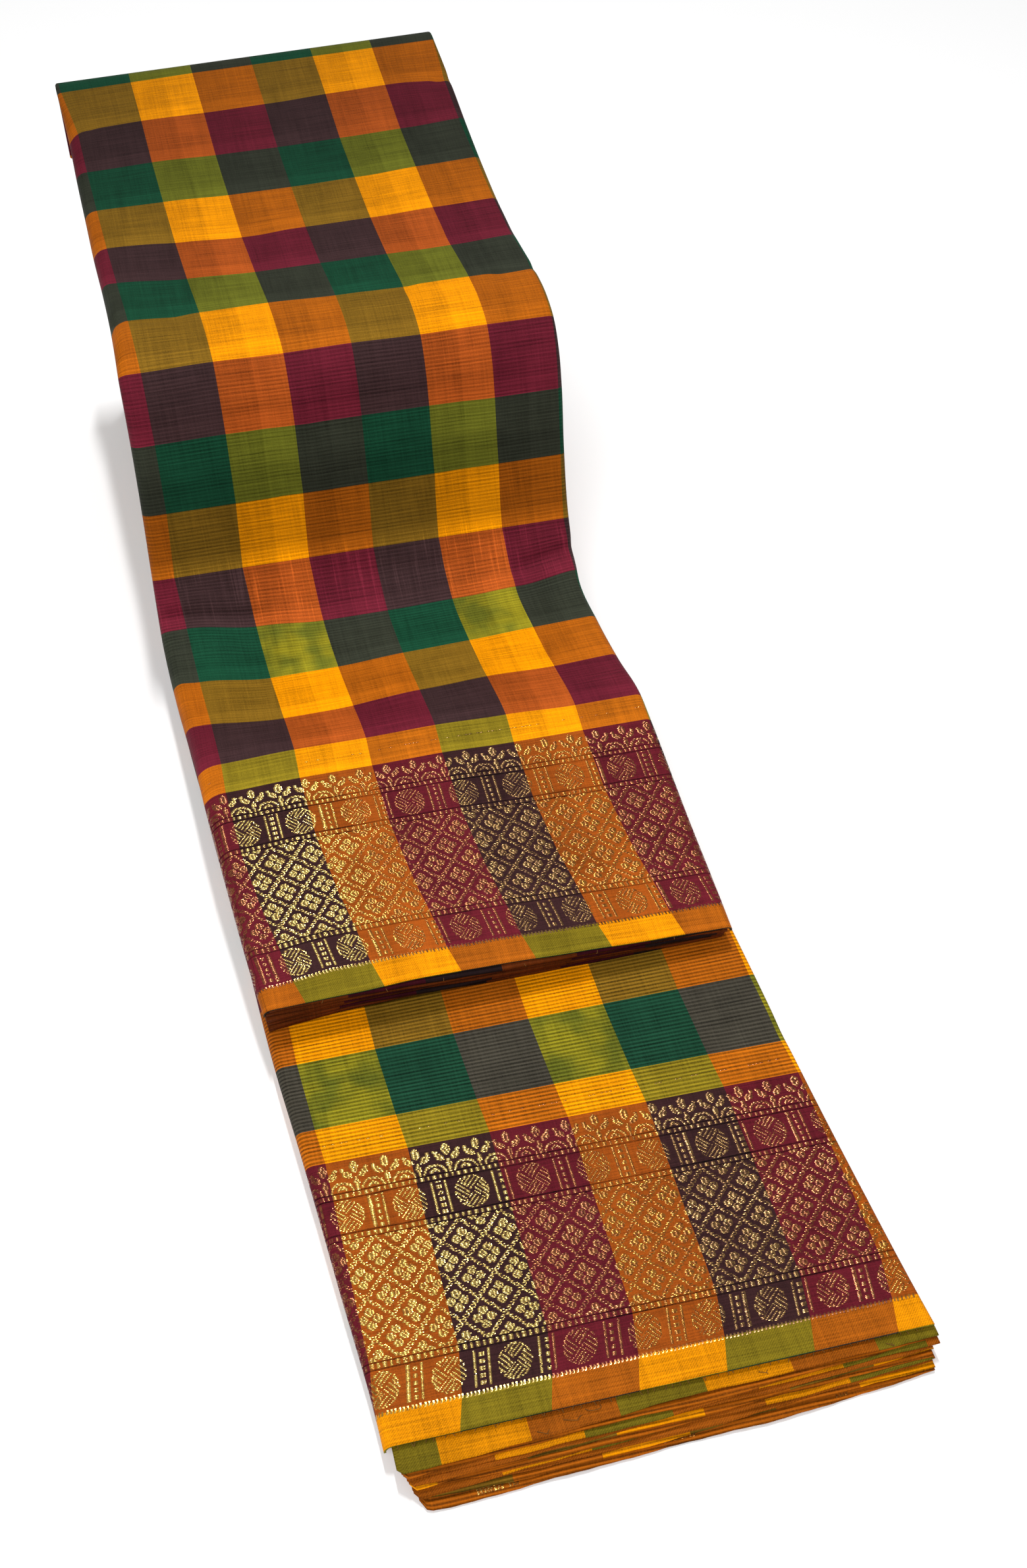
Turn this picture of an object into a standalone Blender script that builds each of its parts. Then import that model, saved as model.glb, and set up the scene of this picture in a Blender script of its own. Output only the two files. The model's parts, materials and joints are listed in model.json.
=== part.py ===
"""A checked cotton and silk sari with woven gold borders, pleated into a long strip and folded once across.

The strip lies on the floor in front. At the rear it climbs over the rest of the sari, which is folded
into a thick pack, and turns back at the rear fold. So it makes two laps: the upper lap ends in its border
halfway down the front, and the lower lap comes out from under it and ends in its own border, where the
plies below the top one show as a fan of edges.

The tables are in millimetres: ahead is the distance towards the front, height is above the floor, left and
right are the two sides. The mesh points are in metres, with X to the right, Y to the rear and Z up.
"""

import math
from collections import namedtuple

import bmesh
import bpy
import numpy as np

MM = 0.001

# The middle of the whole sari's footprint, in the tables' own measures
CENTRE_RIGHT = 84.73
CENTRE_AHEAD = 285.86

# Cloth walls and the seams of air between pieces
CLOTH = 1.5
THIN_PLY = 1.3
FAN_PLY = 1.2
GAP = 0.3
UNDER_CLOTH = CLOTH + GAP
PLY_STEP = THIN_PLY + GAP

# The strip's middle line, about which it skews and tilts
MIDDLE = 84.0

# The rear fold, where the strip turns back on itself
TURN_RADIUS = 10.0
TURN_STEPS = 9
TUCKED_UNDER = 22.0
LAP_THICK = 2 * TURN_RADIUS
TURN_END_IN = 1.6

# How finely the sections follow the strip
MOST_TURN = math.radians(13)
MOST_RUN = 30.0
STEP_CLEAR = 3.0
SHARP_ANGLE = math.radians(60)

# The upper lap's inner layers rest this high over the lower lap
UNDERSIDE = 13.4
UPPER_FOLDS = 5
LOWER_FOLDS = 3
PACK_FOLDS = 11
FOLD_VARIES = 0.5
WANDER_RUN = 55.0

Section = namedtuple("Section", "ahead height left right skew tilt")
Spot = namedtuple("Spot", "ahead height out_ahead out_up left right skew tilt")
Ply = namedtuple("Ply", "short left_in right_in wave")
Fan = namedtuple("Fan", "left middle right left_in right_in corner")
Roll = namedtuple("Roll", "radius angles")
Side = namedtuple("Side", "inset crease loose")

# The top cloth's two sides, left and right, each a radius and the degrees at which it is cut
UPPER_ROLLS = (Roll(4.5, (100, 75, 50, 25)), Roll(3.2, (100, 70, 35)))
LOWER_ROLLS = (Roll(3.2, (100, 70, 35)), Roll(3.2, (28, 14)))
FLAT_CUTS = (0.0, 0.12, 0.3, 0.5, 0.7, 0.88, 1.0)

# skew and tilt are in percent: how much further ahead, and how much higher, the right side lies
UPPER_LAP = (
    Section(-2, 170, -10, 165.5, -1.8, 1.0),
    Section(26, 162.5, -9, 167, -1.2, 0.9),
    Section(52, 155.2, -9, 167.5, -0.2, 0.8),
    Section(79, 150.2, -8.7, 167.5, 0.6, 0.5),
    Section(105, 146, -8.4, 168, 1.3, -0.3),
    Section(131, 143.8, -7.6, 169, 1.6, -0.8),
    Section(159, 143.4, -7.3, 170, 1.0, -1.4),
    Section(172.5, 142.1, -7.5, 170.2, 0.7, -1.6),
    Section(184.5, 136.6, -8, 170.5, 0.5, -1.7),
    Section(192.6, 125, -8.3, 170.8, 0.3, -1.9),
    Section(197, 111.4, -8.7, 171, 0.1, -2.0),
    Section(206, 83.6, -10, 170, 0.4, -2.0),
    Section(218.5, 59.2, -11.6, 168.5, 1.6, -1.7),
    Section(236.5, 41, -12.8, 167.5, 2.6, -1.0),
    Section(264, 39.6, -12, 167.5, 2.0, 0.4),
    Section(290, 42.6, -10.6, 168, 2.1, -0.3),
    Section(316, 46.8, -9.2, 169, 2.3, -1.1),
    Section(329, 45, -8.8, 169.2, 2.6, -1.6),
    Section(370, 36.2, -6.6, 170.2, 2.9, -3.2),
    Section(410, 28.7, -3.9, 171.2, 3.0, -4.0),
    Section(419.5, 26.6, -3, 171.4, 3.0, -3.9),
)

LOWER_LAP = (
    Section(250, 12.6, -8, 172, 2.6, 0),
    Section(378, 12.6, -5, 175, 3.2, 0),
    Section(433, 12.5, -2.8, 176.6, 3.9, -0.4),
    Section(468, 12.9, -0.2, 178, 4.3, -2.5),
    Section(520, 11.6, 3.2, 180.6, 4.5, -1.6),
    Section(560.5, 10.8, 5.8, 183.2, 4.8, -0.8),
    Section(571, 11.4, 6, 183.4, 5.3, 0.4),
)

# The plies under the upper lap's front edge: how far each stops short of it, and of the two sides
PLIES_BEGIN = 446.0
UPPER_PLIES = (
    Ply(1.6, 3.2, 1.0, 0.5),
    Ply(2.8, 2.4, 0.8, 0.9),
    Ply(5.4, 1.6, 2.2, 0.7),
    Ply(7.6, 3.4, 1.6, 1.1),
)
TONGUE_END = 17.0

# Where the inner layers change thickness: under the tucked cloth, and just before the plies begin
THICKNESS_STEPS = (TUCKED_UNDER, TUCKED_UNDER + 4, PLIES_BEGIN - 5, PLIES_BEGIN - 2)

# How the inner layers' sides lie in: their top fold is drawn in under the top cloth, and the folds below
# it bulge out nearly as far as the cloth
UPPER_TOP_SIDE = Side(2.1, 2.4, 0.4)
UPPER_LOW_SIDE = Side(0.5, 1.9, 1.8)
LOWER_TOP_SIDE = Side(2.1, 1.5, 0.8)
LOWER_LOW_SIDE = Side(0.6, 1.5, 0.8)

# How thick the upper lap is: it opens out at the foot of the drop, where it reaches down to the lower lap
LAP_ALONG = (0, 268, 300)
LAP_DEPTH = (LAP_THICK, LAP_THICK, 30)

# The fan at the front, top ply first: how far each edge shows past the top cloth at the left, middle and
# right, how far its sides lie in, and the radius of its left corner
FAN_BEGIN = 44.0
FAN_PLIES = (
    Fan(9.3, 6.2, 3.4, 2.0, 0.6, 4),
    Fan(12.8, 11.0, 7.5, 4.2, 0.6, 6),
    Fan(14.3, 12.2, 8.5, 6.0, 4.4, 8),
    Fan(15.2, 13.2, 9.2, 7.2, 5.0, 9),
    Fan(17.5, 15.5, 10.5, 8.6, 5.6, 10),
)
LOWEST_PLY = 1.5
FAN_SIDE_IN = 0.6
FAN_WAVE = 0.5

# The folded pack under the rear
PACK_GAP = 0.6
PACK_REAR = -12.0
PACK_SIDE_IN = 2.5
PACK_CORNER = 12.0
PACK_CREASE = 3.2
PACK_TOP_FROM = 8.0
PACK_TOP_TO = 192.0
PACK_FACE_TO = 284.0
PACK_FACE_STEP = 6.0
PACK_FRONT_IN = 1.0
PACK_LOOSE = 2.6

COLOURS = {
    "upper_lap": (0.40, 0.12, 0.03),
    "lower_lap": (0.44, 0.17, 0.03),
    "ply": (0.30, 0.11, 0.04),
    "layers": (0.17, 0.05, 0.04),
    "pack": (0.10, 0.10, 0.04),
}
CLOTH_ROUGHNESS = 0.75


def uneven(number, seed):
    """A steady but irregular value from 0 to 1, so that no two folds are alike."""
    return (math.sin(12.9898 * number + 78.233 * seed) * 43758.5453) % 1.0


class Strip:
    """A smooth curve through a table of sections, followed by the distance along it."""

    def __init__(self, table):
        self.rows = np.array(table, float)
        runs = np.hypot(np.diff(self.rows[:, 0]), np.diff(self.rows[:, 1]))
        self.knots = np.concatenate([[0.0], np.cumsum(runs)])
        slopes = np.diff(self.rows, axis=0) / runs[:, None]
        before, after = runs[:-1, None], runs[1:, None]
        inner = (slopes[:-1] * after + slopes[1:] * before) / (before + after)
        self.tangents = np.vstack([slopes[:1], inner, slopes[-1:]])
        self.length = self.knots[-1]

    def values(self, along):
        """The columns and their slopes at a place along the curve. Past the end they run on level."""
        past = max(along - self.length, 0.0)
        along = min(max(along, 0.0), self.length)
        i = min(int(np.searchsorted(self.knots, along, side="right")) - 1, len(self.knots) - 2)
        run = self.knots[i + 1] - self.knots[i]
        t = (along - self.knots[i]) / run
        low, high = self.rows[i], self.rows[i + 1]
        leave, arrive = self.tangents[i] * run, self.tangents[i + 1] * run
        value = (
            (2 * t**3 - 3 * t**2 + 1) * low
            + (t**3 - 2 * t**2 + t) * leave
            + (3 * t**2 - 2 * t**3) * high
            + (t**3 - t**2) * arrive
        )
        slope = (
            (6 * t**2 - 6 * t) * (low - high)
            + (3 * t**2 - 4 * t + 1) * leave
            + (3 * t**2 - 2 * t) * arrive
        )
        value = value.copy()
        value[0] += past
        return value, slope

    def spot(self, along):
        """The place along the strip, with the direction out of the cloth there."""
        value, slope = self.values(along)
        steep = math.hypot(slope[0], slope[1])
        ahead, height, left, right, skew, tilt = value
        return Spot(ahead, height, -slope[1] / steep, slope[0] / steep, left, right, skew, tilt)


UPPER = Strip(UPPER_LAP)
LOWER = Strip(LOWER_LAP)
TURN_LENGTH = math.pi * TURN_RADIUS


def upper_spot(along):
    """A spot on the upper lap. Before 0 it goes round the rear fold and then back under it."""
    if along >= 0:
        return UPPER.spot(along)
    start = UPPER.spot(0.0)
    angle = min(-along / TURN_RADIUS, math.pi)
    out_ahead = start.out_ahead * math.cos(angle) - start.out_up * math.sin(angle)
    out_up = start.out_up * math.cos(angle) + start.out_ahead * math.sin(angle)
    back = max(-along - TURN_LENGTH, 0.0)
    ahead = start.ahead + TURN_RADIUS * (out_ahead - start.out_ahead) + back * start.out_up
    height = start.height + TURN_RADIUS * (out_up - start.out_up) - back * start.out_ahead
    return start._replace(ahead=ahead, height=height, out_ahead=out_ahead, out_up=out_up)


def place(spot, x, depth):
    """The point at x across the strip and so far below its outer face: x, ahead and height."""
    aside = (x - MIDDLE) / 100
    ahead = spot.ahead + spot.skew * aside - spot.out_ahead * depth
    height = spot.height + spot.tilt * aside - spot.out_up * depth
    return x, ahead, height


def world(point):
    """The mesh point of a place in the tables' measures."""
    x, ahead, height = point
    return (x - CENTRE_RIGHT) * MM, (CENTRE_AHEAD - ahead) * MM, height * MM


def cuts_along(spot_at, start, end):
    """Places along a strip, closer together where it bends."""
    found, last, here = [start], spot_at(start), start
    while here < end - 2:
        here += 1
        now = spot_at(here)
        turned = abs(last.out_ahead * now.out_up - last.out_up * now.out_ahead)
        if turned >= math.sin(MOST_TURN) or here - found[-1] >= MOST_RUN:
            found.append(here)
            last = now
    return found + [end]


def finish(bm, name, colour, solidify=None):
    """Turns the mesh into a named object with its own cloth material, and gives a sheet its wall."""
    mesh = bpy.data.meshes.new(name)
    bm.to_mesh(mesh)
    bm.free()
    mesh.shade_smooth()
    mesh.set_sharp_from_angle(angle=SHARP_ANGLE)
    obj = bpy.data.objects.new(name, mesh)
    SARI.objects.link(obj)
    if solidify:
        wall = obj.modifiers.new("Cloth wall", "SOLIDIFY")
        wall.thickness = solidify * MM
        wall.offset = -1
        wall.use_even_offset = True
    material = bpy.data.materials.new(name)
    material.use_nodes = True
    shader = material.node_tree.nodes["Principled BSDF"]
    shader.inputs["Base Color"].default_value = (*COLOURS[colour], 1)
    shader.inputs["Roughness"].default_value = CLOTH_ROUGHNESS
    shader.inputs["Metallic"].default_value = 0
    mesh.materials.append(material)
    return obj


def sheet(name, colour, across, along, point_at, wall):
    """An open grid with a point for each place across and along, thickened into a cloth wall."""
    bm = bmesh.new()
    wide, long = len(across) - 1, len(along) - 1
    bmesh.ops.create_grid(bm, x_segments=wide, y_segments=long, size=0.5)
    for vert in bm.verts:
        i = round((vert.co.x + 0.5) * wide)
        j = round((0.5 - vert.co.y) * long)
        vert.co = world(point_at(across[i], along[j]))
    return finish(bm, name, colour, wall)


def block(name, colour, cuts, point_at):
    """A cube cut across at the fractions given for each axis, then drawn into shape."""
    bm = bmesh.new()
    bmesh.ops.create_cube(bm, size=1)
    bmesh.ops.translate(bm, verts=bm.verts, vec=(0.5, 0.5, 0.5))
    for axis, fractions in enumerate(cuts):
        for fraction in fractions:
            spot, normal = [0, 0, 0], [0, 0, 0]
            spot[axis], normal[axis] = fraction, 1
            everything = bm.verts[:] + bm.edges[:] + bm.faces[:]
            bmesh.ops.bisect_plane(bm, geom=everything, plane_co=spot, plane_no=normal)
    for vert in bm.verts:
        vert.co = world(point_at(*vert.co))
    return finish(bm, name, colour)


def fold_cuts(folds):
    """The heights, as fractions, at which a stack of rounded folds needs a row of points."""
    cuts = [(fold + part) / folds for fold in range(folds) for part in (0, 0.2, 0.8)]
    return cuts[1:]


def fold_levels(folds, seed, top_fold=1.0):
    """The tops of the folds as fractions of the stack, each fold a little thicker or thinner."""
    thick = [1 + FOLD_VARIES * (uneven(fold, seed) - 0.5) for fold in range(folds - 1)] + [top_fold]
    return np.concatenate([[0.0], np.cumsum(thick)]) / sum(thick)


def fold_inset(part, folds, crease, seed, along, loose):
    """How far a side lies in at this part of the stack: each fold bulges, with a crease below the next."""
    counted = part * folds + 1e-5
    fold = min(int(counted), folds - 1)
    across_fold = min(counted - fold, 1.0)
    bulge = math.sqrt(max(0.0, 1 - (2 * across_fold - 1) ** 2))
    wander = 0.5 + 0.5 * math.sin(along / WANDER_RUN + 2.3 * fold + seed)
    return crease * (1 - bulge) + loose * (0.6 * uneven(fold, seed + 1) + 0.4 * wander)


def rounded_corner(x, ahead, box, radius):
    """Draws in a point near a corner of the box (left, right, rear, front), so that its plan is round."""
    left, right, rear, front = box
    from_side = min(x - left, right - x)
    from_end = min(ahead - rear, front - ahead)
    if from_side >= radius or from_end >= radius:
        return x, ahead
    side, end = radius - from_side, radius - from_end
    reach = max(side, end) / max(math.hypot(side, end), 1e-9)
    x_in, ahead_in = radius - side * reach, radius - end * reach
    x_to = left + x_in if x - left < right - x else right - x_in
    ahead_to = rear + ahead_in if ahead - rear < front - ahead else front - ahead_in
    return x_to, ahead_to


def cloth_across(rolls):
    """The places across a lap's top cloth: down its left fold, over the top and down its right fold."""
    left = [("left", math.radians(angle)) for angle in rolls[0].angles]
    flat = [("flat", part) for part in FLAT_CUTS]
    right = [("right", math.radians(angle)) for angle in reversed(rolls[1].angles)]
    return left + flat + right


def cloth_point(spot, across, rolls):
    side, value = across
    left, right = spot.left + rolls[0].radius, spot.right - rolls[1].radius
    if side == "flat":
        return place(spot, left + value * (right - left), 0.0)
    radius = rolls[0].radius if side == "left" else rolls[1].radius
    reach = radius * (1 - math.sin(value))
    x = spot.left + reach if side == "left" else spot.right - reach
    return place(spot, x, radius * (1 - math.cos(value)))


def upper_cuts():
    """The places at which every piece of the upper lap is cut, so that their faces stay parallel."""
    steps = [*THICKNESS_STEPS, UPPER.length - TONGUE_END]
    found = cuts_along(upper_spot, 0.0, UPPER.length)
    clear = [where for where in found if all(abs(where - step) > STEP_CLEAR for step in steps)]
    return sorted(clear + steps)


def upper_lap_cloth():
    turn = [-TURN_LENGTH * step / TURN_STEPS for step in range(TURN_STEPS, 0, -1)]
    under = [-TURN_LENGTH - TUCKED_UNDER, -TURN_LENGTH - TUCKED_UNDER / 2]
    along = under + turn + upper_cuts()

    def point_at(across, where):
        return cloth_point(upper_spot(where), across, UPPER_ROLLS)

    sheet("upper_lap_cloth", "upper_lap", cloth_across(UPPER_ROLLS), along, point_at, CLOTH)


def upper_plies():
    parts = (0.0, 0.03, 0.1, 0.3, 0.5, 0.7, 0.9, 0.97, 1.0)
    along = (0.0, 0.5, 0.85, 1.0)
    for number, ply in enumerate(UPPER_PLIES):

        def point_at(across, where, number=number, ply=ply):
            wave = ply.wave * math.sin(7.5 * across + 1.9 * number)
            end = UPPER.length - ply.short + wave * where
            spot = UPPER.spot(PLIES_BEGIN + where * (end - PLIES_BEGIN))
            left = spot.left + UNDER_CLOTH + ply.left_in
            right = spot.right - UNDER_CLOTH - ply.right_in
            return place(spot, left + across * (right - left), UNDER_CLOTH + PLY_STEP * number)

        sheet(f"upper_ply_{number + 2}", "ply", parts, along, point_at, THIN_PLY)


def layers_top(along):
    """The depth of the inner layers' top: they make room for the plies near the front edge."""
    below_plies = UNDER_CLOTH + PLY_STEP * len(UPPER_PLIES)
    return below_plies if along > PLIES_BEGIN - 3 else UNDER_CLOTH


def lap_depth(along):
    return float(np.interp(along, LAP_ALONG, LAP_DEPTH))


def layers_bottom(spot, x, along):
    """The depth of the inner layers' underside, over the tucked cloth, the pack or the lower lap."""
    deep = lap_depth(along)
    if along < TUCKED_UNDER + 2:
        deep -= UNDER_CLOTH + GAP
    height = place(spot, x, 0.0)[2]
    return min(deep, (height - UNDERSIDE) / spot.out_up)


def upper_lap_layers():
    end = UPPER.length - TONGUE_END
    along = [where for where in upper_cuts() if where <= end]
    levels = fold_levels(UPPER_FOLDS, 3, top_fold=1.4)
    top_fold = 1 - 1 / UPPER_FOLDS - 0.01
    inner_radius = TURN_RADIUS - UNDER_CLOTH - GAP

    def point_at(a, b, c):
        where = end * (1 - b)
        spot = UPPER.spot(where)
        top = layers_top(where)
        drawn_in = c > top_fold or where < TUCKED_UNDER + 6
        side = UPPER_TOP_SIDE if drawn_in else UPPER_LOW_SIDE
        left = spot.left + side.inset + fold_inset(c, UPPER_FOLDS, side.crease, 3, where, side.loose)
        right = spot.right - side.inset - fold_inset(c, UPPER_FOLDS, side.crease, 8, where, side.loose)
        x = left + a * (right - left)
        bottom = layers_bottom(spot, x, where)
        risen = float(np.interp(c * UPPER_FOLDS, range(UPPER_FOLDS + 1), levels))
        depth = bottom + risen * (top - bottom)
        x, ahead, height = place(spot, x, depth)
        if b > 1 - 1e-6:
            radius = inner_radius if 0.01 < a < 0.99 else inner_radius - TURN_END_IN
            reach = math.sqrt(max(0.0, radius**2 - (depth - TURN_RADIUS) ** 2))
            ahead -= spot.out_up * reach
            height += spot.out_ahead * reach
        return x, ahead, height

    across = (0.02, 0.3, 0.5, 0.7, 0.98)
    backwards = [1 - where / end for where in along[1:-1]]
    block("upper_lap_layers", "layers", (across, backwards, fold_cuts(UPPER_FOLDS)), point_at)


def lower_lap_cloth():
    def point_at(across, where):
        return cloth_point(LOWER.spot(where), across, LOWER_ROLLS)

    along = cuts_along(LOWER.spot, 0.0, LOWER.length)
    sheet("lower_lap_cloth", "lower_lap", cloth_across(LOWER_ROLLS), along, point_at, CLOTH)


def lower_lap_layers():
    end = LOWER.length - FAN_BEGIN - 2
    levels = fold_levels(LOWER_FOLDS, 5)
    top_fold = 1 - 1 / LOWER_FOLDS - 0.01

    def point_at(a, b, c):
        where = end * (1 - b)
        spot = LOWER.spot(where)
        side = LOWER_TOP_SIDE if c > top_fold else LOWER_LOW_SIDE
        left = spot.left + side.inset + fold_inset(c, LOWER_FOLDS, side.crease, 5, where, side.loose)
        right = spot.right - side.inset - fold_inset(c, LOWER_FOLDS, side.crease, 6, where, side.loose)
        x = left + a * (right - left)
        x, ahead, height = place(spot, x, UNDER_CLOTH)
        risen = float(np.interp(c * LOWER_FOLDS, range(LOWER_FOLDS + 1), levels))
        return x, ahead, height * risen

    across = (0.02, 0.25, 0.5, 0.75, 0.98)
    along = [where for where in cuts_along(LOWER.spot, 0.0, LOWER.length) if 0 < where < end - 8]
    backwards = [1 - where / end for where in along]
    block("lower_lap_layers", "layers", (across, backwards, fold_cuts(LOWER_FOLDS)), point_at)


def fan_edge(fan, across):
    """How far a fan ply shows past the top cloth's edge, along a smooth line through its three sizes."""
    rise = 4 * fan.middle - 3 * fan.left - fan.right
    bend = 2 * (fan.left + fan.right - 2 * fan.middle)
    return fan.left + across * rise + across**2 * bend


def lower_plies():
    parts = (0.0, 0.02, 0.045, 0.1, 0.25, 0.4, 0.55, 0.7, 0.85, 0.97, 1.0)
    begin = LOWER.length - FAN_BEGIN
    lowest = len(FAN_PLIES) - 1
    for number, fan in enumerate(FAN_PLIES):

        def point_at(across, where, number=number, fan=fan):
            reach = fan_edge(fan, across) + FAN_WAVE * math.sin(9 * across + 2.2 * number)
            length = FAN_BEGIN + reach
            spot = LOWER.spot(begin + where * length)
            left, right = spot.left + FAN_SIDE_IN + fan.left_in, spot.right - FAN_SIDE_IN - fan.right_in
            x, ahead, height = place(spot, left + across * (right - left), 0.0)
            from_left = x - left
            if from_left < fan.corner:
                drawn = fan.corner - math.sqrt(fan.corner**2 - (fan.corner - from_left) ** 2)
                ahead -= drawn * where
            if number == lowest:
                return x, ahead, LOWEST_PLY
            first = LOWEST_PLY + GAP
            share = (height - UNDER_CLOTH - first) / lowest
            return x, ahead, first + share * (lowest - number) - GAP

        wall = LOWEST_PLY if number == lowest else FAN_PLY
        sheet(f"lower_ply_{number + 2}", "ply", parts, (0.0, 0.4, 0.75, 0.9, 1.0), point_at, wall)


def under_lap(places, x):
    """The line just below the upper lap at x, as rows of ahead and height."""
    return np.array([place(UPPER.spot(where), x, lap_depth(where) + PACK_GAP)[1:] for where in places])


def pack_layers():
    """The rest of the sari, folded into a pack. Its front and top keep just clear of the upper lap."""
    over = [where for where in upper_cuts() if PACK_TOP_FROM < where < PACK_TOP_TO]
    over = [PACK_TOP_FROM] + over + [PACK_TOP_TO]
    face = np.arange(PACK_TOP_TO, PACK_FACE_TO, PACK_FACE_STEP)
    levels = fold_levels(PACK_FOLDS, 9)

    def side_in(c, seed, along=0.0):
        return fold_inset(c, PACK_FOLDS, PACK_CREASE, seed, along, PACK_LOOSE)

    def front_at(c, height, line):
        return float(np.interp(-height, -line[:, 1], line[:, 0])) - PACK_FRONT_IN - side_in(c, 4)

    def point_at(a, b, c):
        part = 1 - b
        risen = float(np.interp(c * PACK_FOLDS, range(PACK_FOLDS + 1), levels))
        side = UPPER.spot(over[round(part * (len(over) - 1))])
        left = side.left + PACK_SIDE_IN + side_in(c, 6, 90 * part)
        right = side.right - PACK_SIDE_IN - side_in(c, 7, 90 * part)
        x = left + a * (right - left)
        top, front_line = under_lap(over, x), under_lap(face, x)
        highest = top[0][1] + part * (top[-1][1] - top[0][1])
        rear, front = PACK_REAR + side_in(c, 2), front_at(c, risen * highest, front_line)
        ahead = rear + part * (front - rear)
        x, ahead = rounded_corner(x, ahead, (left, right, rear, front), PACK_CORNER)
        return x, ahead, risen * float(np.interp(ahead, top[:, 0], top[:, 1]))

    edge = PACK_CORNER / (UPPER_LAP[0].right - UPPER_LAP[0].left)
    across = (edge / 2, edge, 0.5, 1 - edge, 1 - edge / 2)
    middle_line = under_lap(over, MIDDLE)
    rear = PACK_REAR + side_in(1.0, 2)
    length = front_at(1.0, middle_line[-1][1], under_lap(face, MIDDLE)) - rear
    corner = PACK_CORNER / length
    corners = [corner / 2, corner, 1 - corner, 1 - corner / 2]
    curved = [1 - (ahead - rear) / length for ahead in middle_line[:, 0]]
    backwards = corners + [b for b in curved if 1.2 * corner < b < 1 - 1.2 * corner]
    block("pack_layers", "pack", (across, backwards, fold_cuts(PACK_FOLDS)), point_at)


for old in list(bpy.data.objects):
    bpy.data.objects.remove(old, do_unlink=True)
SARI = bpy.data.collections.new("sari")
bpy.context.scene.collection.children.link(SARI)

upper_lap_cloth()
upper_plies()
upper_lap_layers()
lower_lap_cloth()
lower_plies()
lower_lap_layers()
pack_layers()
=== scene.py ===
"""The looks of a folded, checked sari with woven gold borders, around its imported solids.

Tables and sizes are in millimetres, as in the part's source: ahead is the distance towards the front,
height is above the floor, left and right are the two sides, and along follows the strip from its rear fold.
Across is measured over the cloth itself, so that it goes on round the strip's folded sides.
"""

import json
import math
from collections import namedtuple

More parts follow.
